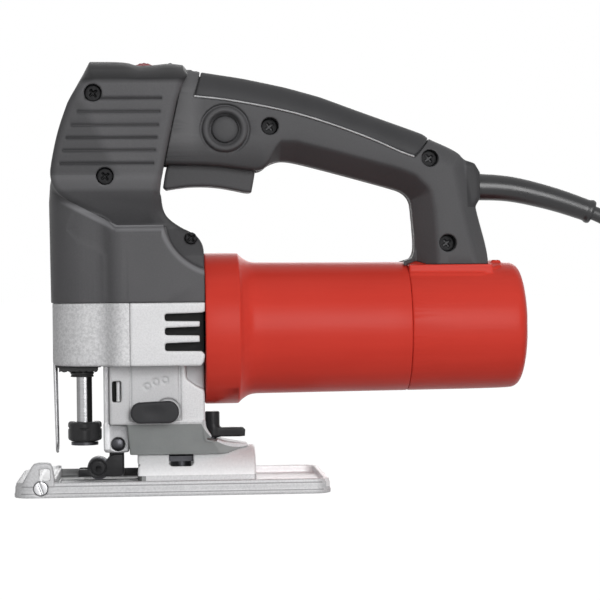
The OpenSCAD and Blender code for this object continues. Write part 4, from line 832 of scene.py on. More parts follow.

# --- Gear case ---------------------------------------------------------------
# Die-cast aluminium, shot-blasted and left bare: the gear chamber with its three air outlets, the follower
# block below it with its lever seat, and the foot that sits in the saddle of the sole. Painted shade makes
# its inside black.
def cast(name, dark, light, speck_size, depth, metallic=0.15, roughness=0.5, shine=0.5):
    """Blasted cast aluminium: bright grains among duller ones, with the odd stain."""
    finish, ink, surface = finish_named(name, metallic, roughness, shine)
    speck = ink.node("ValToRGB", {"stops": [(0.38, 0.0), (0.62, 1.0)]}, {0: grain(ink, speck_size, 2, 0.7)})
    stain = grain(ink, 14, 4, 0.6)
    mask = speck * 0.55 + stain * 0.45
    colour = tinted(ink, mask, dark, light)
    lay_on(surface, "Base Color", colour)
    lay_on(surface, "Roughness", speck * 0.16 + (roughness - 0.08))
    lay_on(surface, "Normal", relief(ink, grain(ink, speck_size * 0.8, 3, 0.6), depth))
    return finish, ink, surface, colour


case_metal, ink, surface, colour = cast(
    "gear_case_metal", (0.58, 0.58, 0.59), (0.74, 0.74, 0.75), 0.8, 0.05, shine=0.12)
x, y, z = spot(ink)
out = abs(y)
# Painted shade: black inside the chamber and in the sight window round its bar, darker on the side strip
# under the chamber and on the floors of the scoops.
inside = (out < 0.0322) * (z > 0.0632) * (z < 0.0885) * (x > -0.0662)
window = (out < 0.0197) * (x < -0.0709) * (z > 0.0428) * (z < 0.0531) * (abs(x + 0.0733) < 0.0030)
window_bar = (x + 0.0727) ** 2.0 + (out - 0.0168) ** 2.0 < 0.0000016
foot = (z < 0.0322) * (out > 0.004) * (((x + 0.015) ** 2.0 + (z - 0.0404) ** 2.0) > 0.000412)
scooped = (out < 0.0189) * (out > 0.0172) * (x > -0.0406) * (z > 0.0478) * (z < 0.0612)
shade = (z < 0.0605) * (out > 0.0185) * (x < -0.0436)
colour = painted(ink, strongest(ink, shade * 0.42, scooped * 0.75), colour, (0.36, 0.36, 0.37, 1))
# The foot's sloping faces are a darker greenish grey, all but a band along their curved rear edge.
colour = painted(ink, foot, colour, tinted(ink, grain(ink, 9, 3), (0.27, 0.285, 0.282), (0.35, 0.365, 0.362)))
inside = strongest(ink, inside, window * (1 - window_bar))
lay_on(surface, "Base Color", painted(ink, inside, colour, (0.006, 0.006, 0.006, 1)))
lay_on(surface, "Metallic", 0.15 - inside * 0.15)
seam_x, casting_top = -66.8, 89.95
lever_seat = (-49.3, 38.3)
tilt_z, saddle_radius = 2, 18.7
bevel_bolt, bevel_stud = (-43.2, 0), (-27.8, 0)
chamber_plan = [(-75, -33), (-20, -33), (-20, 33), (-75, 33)]
rear_notch = eased([
    (-20, 66), (-32.2, 66), (-33.6, 67.4), (-34.2, 72), (-34.2, 79), (-33.6, 84), (-32.2, 85.6),
    (-20, 85.6),
])
rear_corner = eased([(-36, 57), (-33.4, 60.2), (-31.9, 63.2), (-31.5, 68), (-20, 68), (-20, 57)])
scoop_side = eased([(-40.6, 66), (-40.6, 54.4), (-39.6, 53), (-33.6, 48.9), (-28, 47.6), (-28, 66)], 60)
foot_side = eased([
    (-68.9, 34), (-67.3, 15), (-10.2, 15), (-10.2, 19.2), (-15.2, 20.9), (-24.5, 23.2), (-28.4, 23.9),
    (-31, 24.4), (-31.7, 26.4), (-31.8, 34),
], 50)
foot_sweep = eased([
    (-33, 34), (-33, 16), (-11, 16), (-11, 21.4), (-14.3, 21.9), (-21.4, 22.8), (-25.7, 24.1),
    (-29.3, 27.1), (-31.3, 30.6), (-31.6, 34),
], 50)


def chamber_form(x, y, z):
    """The hollow gear chamber, with its three air outlets and the plate that the motor's bearing sits in."""
    out = np.abs(y)
    plan = np.maximum(template(chamber_plan, x, y), seam_x + 0.1 - x)
    whole = rolled(plan, np.abs(z - 80.2) - 20, 0.9)
    whole = np.maximum(whole, -np.maximum(np.maximum(np.maximum(out - 30.5, 62.6 - z), x - 20), -80 - x))
    whole = less(whole, template(rear_notch, x, z), 0.3)
    for low, high in ((81.2, 84.9), (74.6, 78.4), (67.2, 71.2)):
        outlet = eased([
            (-49.8, low + 0.2), (-50.4, low + 0.9), (-50.4, high - 0.9), (-49.8, high - 0.2),
            (-30, high + 0.3), (-30, low - 0.1),
        ])
        whole = less(whole, template(outlet, x, z), 0.4)
    whole = less(whole, template(rear_corner, x, z), 0.8)
    lining = slab(x, out, z, (-58, 26, 61.5), (-31.8, 27.8, 87), 0.3)
    plate = slab(x, y, z, (-40, -24.5, 60.4), (-37, 24.5, 98), 0.3)
    return joined(joined(whole, lining, 0.2), np.maximum(plate, 11.1 - np.hypot(y, z - motor_z)), 0.2)


def follower_block(x, y, z):
    """The block under the chamber: the lever's seat and its three marks, the sight window and the scoops."""
    out = np.abs(y)
    block_side = rolled(out - 20, np.abs(z - 48) - 16, 0.8)
    lower = rolled(np.abs(x + 54.4) - 22.6, block_side, 1.2)
    lower = less(lower, pin(x, z, y, lever_seat, 6.2, -40, -18.8), 0.3)
    lower = less(lower, slab(x, y, z, (-73, -17, 36), (-43, 17, 59.5), 1), 0.3)
    sight = slab(x, y, z, (-75.5, -40, 43.2), (-71.3, 40, 52.8), 0.7)
    lower = less(lower, np.maximum(sight, 14.5 - out), 0.3)
    lower = np.minimum(lower, np.maximum(np.hypot(x + 72.7, out - 16.8) - 1.05, np.abs(z - 48) - 5))
    for at, r in ((-43.6, 0.65), (-66.9, 0.45)):
        lower = less(lower, np.hypot(x - at, (out - 20) * 0.9) - r, 0.2)
    lower = less(lower, np.maximum(template(scoop_side, x, z), 18.1 - out), 1.0)
    for at_x, at_z in ((-59, 50.2), (-55.1, 52.3), (-50.6, 53.1)):
        lower = less(lower, np.hypot(np.hypot(x - at_x, z - at_z) - 1.35, y + 20.1) - 0.5, 0.2)
    return lower


def foot_form(x, y, z):
    """The sloping foot with hollow cheeks and a narrow tail, ready to be cut to the saddle."""
    out = np.abs(y)
    side = template(foot_side, x, z)
    slope = (out - 20 + (32.6 - z) * 0.46) * 0.91
    rim = np.maximum(np.abs(side + 0.5) - 0.5, np.abs(slope) - 0.45)
    foot = joined(rolled(side, slope, 0.7), np.where(x > -33, rim, 9), 0.2)
    cheek = np.where(x < -26, 16.3 - out, -9)
    foot = joined(foot, rolled(template(foot_sweep, x, z), np.maximum(slope, cheek), 0.4), 0.3)
    narrow = out - np.interp(x, (-33, -30, -27, -14, -10), (40, 18, 15, 7.5, 5.5)).astype(np.float32)
    return less(rolled(foot, narrow, 0.3), np.maximum(z - 17.3, 10.5 - out), 0.3)


def case_form(x, y, z):
    whole = joined(chamber_form(x, y, z), follower_block(x, y, z), 0.5)
    whole = joined(whole, foot_form(x, y, z), 0.4)
    whole = np.maximum(whole, (saddle_radius + 0.3 - np.hypot(y, z - tilt_z)) + np.where(z < 24, 0.0, -40))
    for (at_x, at_y), r in ((bevel_bolt, 3.1), (bevel_stud, 2.1)):
        whole = less(whole, np.hypot(x - at_x, y - at_y) - r + np.where(z < 37, 0.0, 40), 0.1)
    return np.maximum(np.maximum(whole, z - casting_top), x + 31.55 + np.where(z > 40, 0.0, -40))


moulded("gear_housing", (-78, -33.6, 14), (-9.4, 33.6, 91), 0.45, case_form,
        case_metal, "housing", ["gear_case"], 0.25)

# --- Nose cover --------------------------------------------------------------
# The front of the gearbox is a second casting with a coarser skin. Its nose is rounded round the plunger,
# and it carries the rubber gland and the guard wire underneath.
nose_metal, ink, surface, colour = cast(
    "nose_metal", (0.47, 0.47, 0.48), (0.78, 0.78, 0.79), 1.3, 0.11, roughness=0.58)
plunger_x = -89.3
wire_y = 5


def nose_form(x, y, z):
    plan = template(body_plan, x - 0.8, y)
    whole = rolled(plan, np.abs(z - 80.2) - 20, 1.2)
    shell = np.maximum(whole, -np.maximum(plan + 2.6, 62.7 - z))
    shell = less(shell, pin(x, y, z, (plunger_x, 0), 6.1, 50, 70), 0.3)
    for at in (-wire_y, wire_y):
        shell = less(shell, pin(x, y, z, (-103, at), 0.95, 50, 70), 0.1)
    boss = np.maximum(np.abs(np.hypot(x - plunger_x, y) - 7.3) - 1.2, np.abs(z - 66) - 5)
    shell = joined(shell, boss, 0.4)
    return np.maximum(np.maximum(shell, z - casting_top), x - seam_x)


moulded("gear_nose", (-106, -33.6, 59.6), (-66, 33.6, 91), 0.45, nose_form,
        nose_metal, "housing", ["nose_cover"], 0.3)

# --- Sole --------------------------------------------------------------------
# One pressure casting in aluminium: a thin web in a stepped rim, a bridge at the front with the slot for a
# parallel guide, and a round saddle that the foot tilts on. The web and rim round the blade are black.
sole_metal, ink, surface, colour = cast(
    "sole_metal", (0.44, 0.44, 0.45), (0.62, 0.62, 0.63), 1.0, 0.06, roughness=0.5)
x, y, z = spot(ink)
out = abs(y)
trough = (out < 0.0352) * (z > 0.0031) * (z < 0.0076) * (x > -0.1022)
colour = painted(ink, trough * (x < -0.060) * 0.7, colour, (0.05, 0.055, 0.052, 1))
colour = painted(ink, trough * (x > -0.0905) * (x < -0.062) * 0.9, colour, (0.006, 0.006, 0.006, 1))
# Painted light: the web behind the saddle and the top of the saddle are lighter, and so is the inside of the
# guide slot, where light shows through it.
bright = tinted(ink, grain(ink, 1.2, 3), (0.78, 0.78, 0.79), (0.95, 0.95, 0.96))
colour = painted(ink, (x > -0.0070) * (out < 0.0352) * (z > 0.0030) * (z < 0.0076), colour, bright)
colour = painted(ink, (z > 0.0078) * (x > -0.0645) * 0.75, colour, bright)
# Painted shade: dark lines along the rim's two steps.
step_lines = strongest(ink, abs(z - 0.0053) < 0.00028, abs(z - 0.0020) < 0.00028) * (out > 0.0365)
colour = painted(ink, step_lines * 0.6, colour, (0.16, 0.16, 0.165, 1))
guide_slot = (z > 0.0077) * (z < 0.0139) * (x > -0.1098) * (x < -0.1035) * (out < 0.0376)
lay_on(surface, "Base Color", painted(ink, guide_slot, colour, bright))
bridge_side = eased([
    (-121.2, -4), (-121.2, 3.2), (-120.3, 4.5), (-118.4, 5.3), (-116.9, 7.2), (-113.1, 14.2),
    (-111.9, 15.7), (-110.2, 16.1), (-109.4, 16.3), (-105, 16.3), (-103.6, 15.4), (-102.6, 11.8),
    (-102.2, 8), (-102.2, -4),
], 60)
guide_screw = (-108.6, 4.4)


def sole_form(x, y, z):
    u, v = np.abs(x + 47.2) - 65.95, np.abs(y) - 29.95
    plan = np.hypot(np.maximum(u, 0), np.maximum(v, 0)) + np.minimum(np.maximum(u, v), 0) - 8
    steps = np.interp(z, (1.9, 2.3, 5.2, 5.6), (0, 0.4, 0.4, 0.8)).astype(np.float32)
    whole = rolled(plan + steps, np.abs(z - 3.5) - 3.5, 0.6)
    whole = less(whole, np.maximum(plan + 3.4, 3.5 - z), 0.4)
    bridge = rolled(template(bridge_side, x, z), np.maximum(plan + 0.1, -z), 0.9)
    whole = joined(whole, less(bridge, np.maximum(8.9 - z, -31.5 - y), 0.6), 0.3)
    round_out = np.hypot(y, z - tilt_z)
    saddle = rolled(round_out - saddle_radius, np.maximum(np.abs(x + 35.8) - 28.2, -z), 1.4)
    whole = joined(whole, saddle, 0.9)
    under = np.where(z > tilt_z, round_out, np.abs(y)) - 15.5
    whole = less(whole, np.maximum(under, np.abs(x + 38.3) - 27.7), 0.3)
    whole = less(whole, slab(x, y, z, (-101.4, -15, -5), (-62, 15, 13), 0.8), 0.3)
    whole = less(whole, slab(x, y, z, (-109.3, -60, 8.2), (-104.3, 60, 13.5), 0.8), 0.4)
    whole = less(whole, slab(x, y, z, (-109.6, -31, 8), (-98, 31, 13.5), 0.8), 0.3)
    around = (np.degrees(np.arctan2(np.abs(y), z - tilt_z)) - 57.4) * 0.326
    bolt_slot = rolled(np.abs(x - bevel_bolt[0]) - 5.8, around, 2.0)
    whole = less(whole, np.maximum(bolt_slot, 12 - round_out), 0.35)
    whole = less(whole, pin(x, z, y, guide_screw, 3.45, -60, -34.8), 0.35)
    whole = less(whole, pin(x, z, y, guide_screw, 2.05, -60, -22), 0.2)
    return np.maximum(whole, -z)


moulded("sole_plate", (-122, -38.8, -0.8), (27.8, 38.8, 21.6), 0.5, sole_form,
        sole_metal, "sole", ["base_plate"], 0.28)

# --- Guide screw -------------------------------------------------------------
# A slotted cheese-head screw of plated steel, turned into the rim of the sole from its left side.
# Its tip holds a parallel guide fast in the slot of the bridge.
def steel(name, dark, light, roughness, size=2.0, depth=0.012, metallic=1.0):
    """Plated or blued steel: small clouds in its colour and gloss, and fine scratches."""
    finish, ink, surface = finish_named(name, metallic, roughness, shine=0.15)
    cloud = grain(ink, size * 3, 4, 0.6)
    scratch = grain(ink, size * 0.5, 3, 0.6, (1, 1, 0.15))
    lay_on(surface, "Base Color", tinted(ink, cloud * 0.6 + scratch * 0.4, dark, light))
    lay_on(surface, "Roughness", scratch * 0.22 + (roughness - 0.11))
    lay_on(surface, "Normal", relief(ink, scratch, depth))
    return finish


plated_steel = steel("plated_steel", (0.36, 0.36, 0.37), (0.62, 0.62, 0.63), 0.32)
blued_steel = steel("blued_steel", (0.030, 0.030, 0.034), (0.075, 0.075, 0.082), 0.36)


def guide_screw_form(x, y, z):
    u, v = x - guide_screw[0], z - guide_screw[1]
    r = np.hypot(u, v)
    head = rolled(r - 3.25, np.abs(y + 36.35) - 1.35, 0.35)
    shank = rolled(r - 1.95, np.abs(y + 29.7) - 6.2, 0.3)
    notch = np.maximum(np.abs(u * 0.94 + v * 0.34) - 0.5, y + 36.6)
    return less(np.minimum(head, shank), notch, 0.1)


moulded("guide_screw", (-112.4, -38.2, 0.6), (-104.8, -23, 8.2), 0.25, guide_screw_form,
        plated_steel, "sole", ["guide_clamp_screw"], 0.5)

# --- Bevel lever -------------------------------------------------------------
# A black cast lever on its stud behind the foot: a hub to turn about and an arm that stands back over the
# saddle. Turned forward, it lets the sole tilt.
enamel, ink, surface = finish_named("black_enamel", roughness=0.3, shine=0.15)
lay_on(surface, "Base Color", tinted(ink, grain(ink, 5, 3), (0.013, 0.013, 0.014), (0.026, 0.026, 0.028)))
lay_on(surface, "Roughness", grain(ink, 3, 3) * 0.2 + 0.24)
lay_on(surface, "Normal", relief(ink, grain(ink, 1.1, 3), 0.04))
arm_side = [
    (-28, 24.65), (-14.6, 24.65), (-12.2, 24.9), (-12.0, 28.0), (-13.2, 29.2), (-23.4, 29.2), (-28, 30.2),
]


def bevel_lever_form(x, y, z):
    hub = rolled(np.hypot(x - bevel_stud[0], y) - 3.5, np.abs(z - 30.8) - 6.2, 0.7)
    width = 3 + 0.35 * np.clip((x + 22) / 8, 0, 1)
    arm = rolled(template(arm_side, x, z), np.abs(y) - width, 0.8)
    return less(joined(hub, arm, 1.2), pin(x, y, z, bevel_stud, 2.1, 20, 35.2), 0.2)


moulded("bevel_handle", (-32, -4, 24), (-11.6, 4, 37.6), 0.3, bevel_lever_form,
        enamel, "bevel_lever", ["bevel_lever"], 0.4)

# --- Orbital lever -----------------------------------------------------------
# A moulded nylon lever on its shaft in the left side of the gear case, with a shallow dish for the thumb.
# Turned from mark to mark, it sets how far the blade swings.
lever_nylon = nylon("lever_nylon", (0.028, 0.028, 0.030), (0.044, 0.044, 0.047), 0.5)
arm_length = 12.7


def orbital_form(x, y, z):
    u, v = x - lever_seat[0], z - lever_seat[1]
    along = np.clip(u / -arm_length, 0, 1)
    bar = np.hypot(u + arm_length * along, v + 0.3 * along) - (5.2 - 0.25 * along)
    whole = rolled(bar, np.abs(y + 23.45) - 3.15, 0.9)
    dish = np.sqrt((x + 56) ** 2 * 0.35 + v ** 2 + (y + 34.8) ** 2) - 8.6
    whole = less(whole, dish, 0.5)
    return less(whole, pin(x, z, y, lever_seat, 4.02, -24.6, -10), 0.2)


moulded("orbital_handle", (-68, -27.2, 32.4), (-43.4, -19.8, 44.2), 0.3, orbital_form,
        lever_nylon, "orbital_lever", ["orbital_lever"], 0.4)

# --- Gland and finger guard --------------------------------------------------
# A moulded rubber gland keeps dust out of the gearbox round the plunger. A bent wire hangs through it in
# front of the blade, to keep fingers away.
gland_rubber = rubber("gland_rubber", (0.012, 0.012, 0.012), (0.03, 0.03, 0.031), 0.55)


def gland_form(x, y, z):
    plate = slab(x, y, z, (-102.4, -11, 59.25), (-80.8, 11, 60.15), 0.3)
    rags = 0.55 * np.sin(x * 2.1 + 0.8) + 0.35 * np.sin(x * 3.7 + y) + 0.3 * np.sin(y * 1.9)
    lower_edge = np.where(z < 58.4, rags * 0.45, 0)
    skirt = np.maximum(np.abs(x + 91.8) - 9.1, np.abs(y) - 9.4)
    skirt = rolled(skirt, np.abs(z - 58.4) - 1.1 - lower_edge, 0.5)
    collar = rolled(np.hypot(x + 90.2, y) - 5.5 - 0.3 * np.sin(z * 3.6), np.abs(z - 56.2) - 1.8, 0.5)
    whole = joined(joined(plate, skirt, 0.4), collar, 0.6)
    whole = less(whole, pin(x, y, z, (plunger_x, 0), 3.85, 40, 70), 0.2)
    for at in (-wire_y, wire_y):
        whole = less(whole, pin(x, y, z, (-102.9, at), 0.98, 40, 70), 0.1)
    return whole


moulded("plunger_gland", (-103.2, -11.6, 53.8), (-80, 11.6, 60.7), 0.3, gland_form,
        gland_rubber, "housing", ["plunger_seal"], 0.4)

wire_steel = steel("wire_steel", (0.24, 0.24, 0.25), (0.48, 0.48, 0.49), 0.34, 1.0, 0.02)
wire_x, bend_top = -102.35, 24
drop = [(wire_x - 0.018 * (z - bend_top), -wire_y, z) for z in np.linspace(60.9, bend_top, 24)]
bend = [(wire_x, -wire_y * math.cos(a), 23.65 - wire_y * math.sin(a)) for a in np.linspace(0, math.pi, 21)]
thickness = list(np.linspace(0.88, 0.7, len(drop)))
wire_line = drop + bend + [(x, -y, z) for x, y, z in drop[::-1]]
bead("guard_wire", wire_line, thickness + [thickness[-1]] * len(bend) + thickness[::-1],
     wire_steel, "housing", ["finger_guard"], 12)

# --- Plunger and blade clamp -------------------------------------------------
# The plunger is a hardened and ground steel rod. The clamp at its end is a lobed black ring that is turned
# by hand against a spring, round a slotted steel core that takes the blade's tang.
def dressed(finish, *nodes):
    """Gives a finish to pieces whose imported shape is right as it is."""
    for node in nodes:
        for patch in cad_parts[node].material_slots:
            patch.material = finish


ground_steel, ink, surface = finish_named("ground_steel", metallic=1.0, roughness=0.16)
ground = grain(ink, 0.5, 2, 0.5, (0.05, 0.05, 1))
lay_on(surface, "Base Color", tinted(ink, ground, (0.50, 0.50, 0.51), (0.72, 0.72, 0.73)))
lay_on(surface, "Roughness", ground * 0.16 + 0.12)
lay_on(surface, "Normal", relief(ink, ground, 0.004))
dressed(ground_steel, "orbital_shaft")
rod_steel, ink, surface = finish_named("rod_steel", metallic=1.0, roughness=0.16, shine=0.15)
x, y, z = spot(ink)
ground = grain(ink, 0.5, 2, 0.5, (0.05, 0.05, 1))
# Painted dark reflections: the rod is black down its +x side and darker towards its -x edge.
painted_dark_side = (x > -0.0879) * (z < 0.0602)
bright = tinted(ink, ground, (0.33, 0.33, 0.34), (0.48, 0.48, 0.49))
bright = painted(ink, soft_step(ink, -0.0916 - x, 0.0016) * 0.6, bright, (0.06, 0.06, 0.06, 1))
lay_on(surface, "Base Color", painted(ink, painted_dark_side, bright, (0.008, 0.008, 0.008, 1)))
lay_on(surface, "Metallic", 1 - painted_dark_side)
lay_on(surface, "Roughness", ground * 0.16 + painted_dark_side * 0.3 + 0.12)
lay_on(surface, "Normal", relief(ink, ground, 0.0012))
dressed(rod_steel, "plunger")
dressed(blued_steel, "blade_clamp_core")

clamp_nylon = nylon("clamp_nylon", (0.028, 0.028, 0.029), (0.05, 0.05, 0.052), 0.5, 0.06)


def clamp_form(x, y, z):
    u = x - plunger_x
    out = np.hypot(u, y)
    ring = out - 7.4
    for a in np.radians((30, 150, 270)):
        lobe = np.hypot(u - 6.7 * math.cos(a), y - 6.7 * math.sin(a)) - 2.3
        ring = joined(ring, lobe, 1.2)
    whole = rolled(ring, np.abs(z - 28.15) - 4.7, 1.5)
    whole = less(whole, np.maximum(np.abs(z - 29.6) - 0.35, 7.9 - out), 0.3)
    return np.maximum(whole, 5.06 - out)


moulded("clamp_ring", (-98.8, -9.4, 22.8), (-80, 9.4, 33.5), 0.3, clamp_form,
        clamp_nylon, "clamp_sleeve", ["blade_clamp_sleeve"], 0.4)

# --- Blade guide -------------------------------------------------------------
# A pressed steel strap down the front of the gear case carries a forked lever on a pin. A grooved roller in
# the fork backs the blade and pushes it forward on each stroke.
strap_steel, ink, surface, colour = cast(
    "strap_steel", (0.30, 0.30, 0.31), (0.44, 0.44, 0.45), 0.9, 0.02, metallic=0.7, roughness=0.42)
x, y, z = spot(ink)
colour = painted(ink, 0.35, colour, (0.12, 0.12, 0.125, 1))
# Painted light: the front face of the strap is lighter than its ears.
painted_lit_front = soft_step(ink, -0.0772 - x, 0.0006)
lay_on(surface, "Base Color", painted(ink, painted_lit_front, colour, (0.50, 0.50, 0.51, 1)))
ear_side = eased([
    (-79.9, 18.9), (-79.1, 18.1), (-68.6, 18.1), (-67.7, 19), (-67.7, 30.6), (-68.7, 31.8), (-79.9, 31.8),
], 60)
fork_pivot, roller_middle, cheek_middle = (-73.2, 22.2), (-82.7, 10.5), (-82.9, 10.7)


def strap_form(x, y, z):
    strap = slab(x, y, z, (-79.9, -8.4, 19.4), (-77.05, 8.4, 60.1), 0.5)
    ears = rolled(template(ear_side, x, z), np.abs(np.abs(y) - 7) - 1.4, 0.5)
    return less(joined(strap, ears, 0.8), pin(x, z, y, fork_pivot, 3.15, -20, 20), 0.25)


moulded("guide_strap", (-80.6, -9.2, 17.4), (-67, 9.2, 60.8), 0.35, strap_form,
        strap_steel, "housing", ["guide_bracket"], 0.35)

lever_pin = [(-9, 0), (-9, 2.5), (-8.6, 3.05), (8.6, 3.05), (9, 2.5), (9, 0)]
turned("lever_pin", lever_pin, (fork_pivot[0], 0, fork_pivot[1]), "y",
       blued_steel, "housing", ["roller_lever_pin"], 48)
cheek_side = eased([
    (-92.4, 6.6), (-92.4, 9.8), (-91.9, 10.3), (-87.6, 10.3), (-86.6, 9.4), (-83, 11), (-80, 13.2),
    (-78.4, 14.6), (-77, 17), (-71, 17), (-71, 7.4), (-71.8, 6.6),
], 70)


def fork_form(x, y, z):
    out = np.abs(y)
    hub = rolled(np.hypot(x - fork_pivot[0], z - fork_pivot[1]) - 4.5, out - 5.25, 0.4)
    stem = slab(x, y, z, (-77.5, -5.25, 6.8), (-70.5, 5.25, 23), 0.9)
    from_middle = np.hypot(x - cheek_middle[0], z - cheek_middle[1])
    cheek = np.minimum(from_middle - 4.8, template(cheek_side, x, z))
    cheek = rolled(cheek, np.abs(out - 5.1) - 0.8, 0.3)
    whole = joined(joined(hub, stem, 0.8), cheek, 0.5)
    whole = less(whole, pin(x, z, y, roller_middle, 6.15, -4.3, 4.3), 0.1)
    whole = less(whole, np.maximum(np.abs(from_middle - 3.6) - 0.3, 5.5 - out), 0.15)
    return less(whole, pin(x, z, y, fork_pivot, 3.14, -20, 20), 0.15)


moulded("roller_fork", (-93.2, -6.4, 6), (-63.4, 6.4, 27.4), 0.3, fork_form,
        enamel, "guide_lever", ["roller_lever"], 0.35)

roller = [
    (-4, 1.56), (-4, 5), (-3.7, 5.45), (-1.6, 5.5), (-1, 4.4), (1, 4.4), (1.6, 5.5), (3.7, 5.45), (4, 5),
    (4, 1.56),
]
turned("blade_roller", roller, (roller_middle[0], 0, roller_middle[1]), "y",
       blued_steel, "roller", ["support_roller"], 72)
dressed(blued_steel, "roller_axle")

# --- Trigger -----------------------------------------------------------------
# A moulded nylon key that slides up into the handle against its spring, kept in by a lip at its top.
# Its underside is slightly hollow lengthwise, so that the finger lies between its corners.
trigger_nylon = nylon("trigger_nylon", (0.056, 0.056, 0.059), (0.09, 0.09, 0.093), 0.5)
trigger_side = eased([
    (-50.4, 145.2), (-48.9, 143.8), (-44, 144.6), (-37.4, 145.4), (-27.3, 145.3), (-18.6, 144),
    (-9.9, 142), (-8, 142.4), (-6, 152.6), (-6, 161), (-44, 161), (-48.7, 156),
], 50)
spring_x = -27


def trigger_form(x, y, z):
    whole = rolled(template(trigger_side, x, z), np.abs(y) - 7.95, 1.4)
    for low, high in ((-40.6, -32), (-12.5, -8)):
        whole = np.minimum(whole, slab(x, y, z, (low, -9.75, 160.85), (high, 9.75, 162.75), 0.3))
    return less(whole, pin(x, y, z, (spring_x, 0), 4, 153, 170), 0.2)


moulded("trigger_key", (-51.2, -10.2, 141.2), (-5.2, 10.2, 163.4), 0.4, trigger_form,
        trigger_nylon, "trigger", ["trigger"], 0.35)

# --- Return spring -----------------------------------------------------------
# Five turns of plated spring wire between the trigger and the switch above it.
# The coil stands in the trigger's pocket.
spring_radius, spring_foot, spring_height = 2.8, 153.6, 15.8
wound_to = np.linspace(0, 10 * math.pi, 121)
spring_line = [
    (spring_x + spring_radius * math.cos(a), spring_radius * math.sin(a),
     spring_foot + spring_height * a / wound_to[-1]) for a in wound_to
]
return_spring = bead("return_spring", spring_line, 0.4,
                     plated_steel, "housing", ["trigger_spring"], 8)
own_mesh(return_spring)

# --- Lock button -------------------------------------------------------------
# A round domed button of the trigger's nylon, in the ring on the left side of the handle.
# A collar behind the wall keeps it in. Pushed in, it holds the trigger on.
lock_button = [
    (-18.5, 0), (-18.45, 2.2), (-18.3, 4.2), (-18.0, 5.4), (-17.5, 6.0), (-16.8, 6.28), (-14.7, 6.28),
    (-14.7, 7.75), (-11.45, 7.75), (-11.45, 0),
]
turned("lock_key", lock_button[::-1], (lock_x, 0, lock_z), "y",
       trigger_nylon, "lock_button", ["lock_button"], 72, 60)

# --- Speed dial --------------------------------------------------------------
# A red plastic thumbwheel, moulded with its pin and set across the top of the head in a slot.
# Its rim has twenty-four shallow teeth; turned, it sets the speed through the board below.
dial_red, ink, surface = finish_named("dial_red", roughness=0.4)
lay_on(surface, "Base Color", tinted(ink, grain(ink, 4, 3), (0.16, 0.012, 0.018), (0.26, 0.026, 0.032)))
lay_on(surface, "Normal", relief(ink, grain(ink, 0.5, 2), 0.02))
dial_x, dial_z, dial_teeth = -58.9, 196.9, 24


def dial_form(x, y, z):
    u, v = x - dial_x, z - dial_z
    teeth = 0.12 * np.cos(dial_teeth * np.arctan2(u, v))
    wheel = rolled(np.hypot(u, v) - 7.95 - teeth, np.abs(y) - 4, 0.5)
    return np.minimum(wheel, rolled(np.hypot(u, v) - 1.5, np.abs(y) - 7, 0.3))


moulded("speed_wheel", (-68, -7.6, 187.8), (-50, 7.6, 206), 0.3, dial_form,
        dial_red, "speed_dial", ["speed_dial"], 0.4)

# --- Screws ------------------------------------------------------------------
# Six black zinc screws with cross drives pull the shells together, and two more hold the end cap.
# The gear case's screws, the bevel bolt and its stud are of blued steel.
black_zinc = steel("black_zinc", (0.005, 0.005, 0.006), (0.014, 0.014, 0.015), 0.5, 1.0, metallic=0.2)


def screw_form(at_x, at_z, r, top):
    """A cheese-head screw along y with the top of its head at the given y, and its cross a little askew."""
    def form(x, y, z):
        out = np.hypot(x - at_x, z - at_z)
        head = rolled(out - r, np.abs(y - top - 1.5) - 1.5, 0.5)
        shank = np.maximum(out - 1.85, np.abs(y - top - 5) - 4.5)
        u, v = (x - at_x) * 0.8 + (z - at_z) * 0.6, (z - at_z) * 0.8 - (x - at_x) * 0.6
        bar = np.maximum(np.abs(u) - 0.45, np.abs(v) - 2.1)
        cross = np.minimum(bar, np.maximum(np.abs(v) - 0.45, np.abs(u) - 2.1))
        return less(np.minimum(head, shank), np.maximum(cross, y - top - 1.6), 0.15)
    return form


shell_screws = [(*at, 3.95, -25.6) for at in head_screws[:2]] + [(*head_screws[2], 2.75, -24.6)]
shell_screws += [(*at, 3.95, -12.1) for at in handle_screws]
reach = 4.6
for number, (at_x, at_z, r, top) in enumerate(shell_screws, 1):
    low, high = (at_x - reach, top - 0.6, at_z - reach), (at_x + reach, top + 10, at_z + reach)
    moulded("shell_screw_%d" % number, low, high, 0.25, screw_form(at_x, at_z, r, top),
            black_zinc, "housing", ["housing_screws"], 0.4)
for at_y, name in ((-cap_screw_y, "cap_screw_left"), (cap_screw_y, "cap_screw_right")):
    face_on = screw_form(at_y, motor_z, 3.7, -122.2)
    moulded(name, (111.5, at_y - 4.5, 72.5), (122.8, at_y + 4.5, 81.5), 0.25,
            lambda x, y, z, face_on=face_on: face_on(y, -x, z),
            black_zinc, "housing", ["end_cap_screws"], 0.4)
dressed(plated_steel, "brush_springs")
dressed(blued_steel, "bevel_bolt", "bevel_stud", "gear_case_screws", "bevel_washer")

# --- Bend protector, plug and tie --------------------------------------------
# The protector is a glossy rubber taper with a bead at its tip. The plug is moulded onto the flex, with two
# round pins, and lies on the coil; a nylon tie holds the coil.
glossy_rubber = rubber("glossy_rubber", (0.012, 0.012, 0.013), (0.024, 0.024, 0.026), 0.3)
sleeve_line = [
    (96.5, 0, cord_exit_z), (100, 0, cord_exit_z), (104, 0, 144.3), (111, 0, 144), (118, 0, 143.3),
    (125, 0, 142), (132, 0, 140.3), (139, 0, 138.4), (146, 0, 136.2), (152, 0, 134.1), (156.2, 0, 132.6),
    (159, 0, 131.5),
]
sleeve_line = through(sleeve_line, 1.2)
way_along, radius_there = zip(
    (0, 8.3), (0.045, 8.3), (0.05, 6.5), (0.12, 6.5), (0.935, 5.35), (0.95, 5.55), (0.965, 6.0),
    (0.985, 5.95), (1, 5.5))
taper = np.interp(np.linspace(0, 1, len(sleeve_line)), way_along, radius_there)
bead("bend_protector", sleeve_line, taper, glossy_rubber, "housing", ["cord_sleeve"], 40)
plug_y, plug_z, pin_gap = 14, 36.4, 9.5


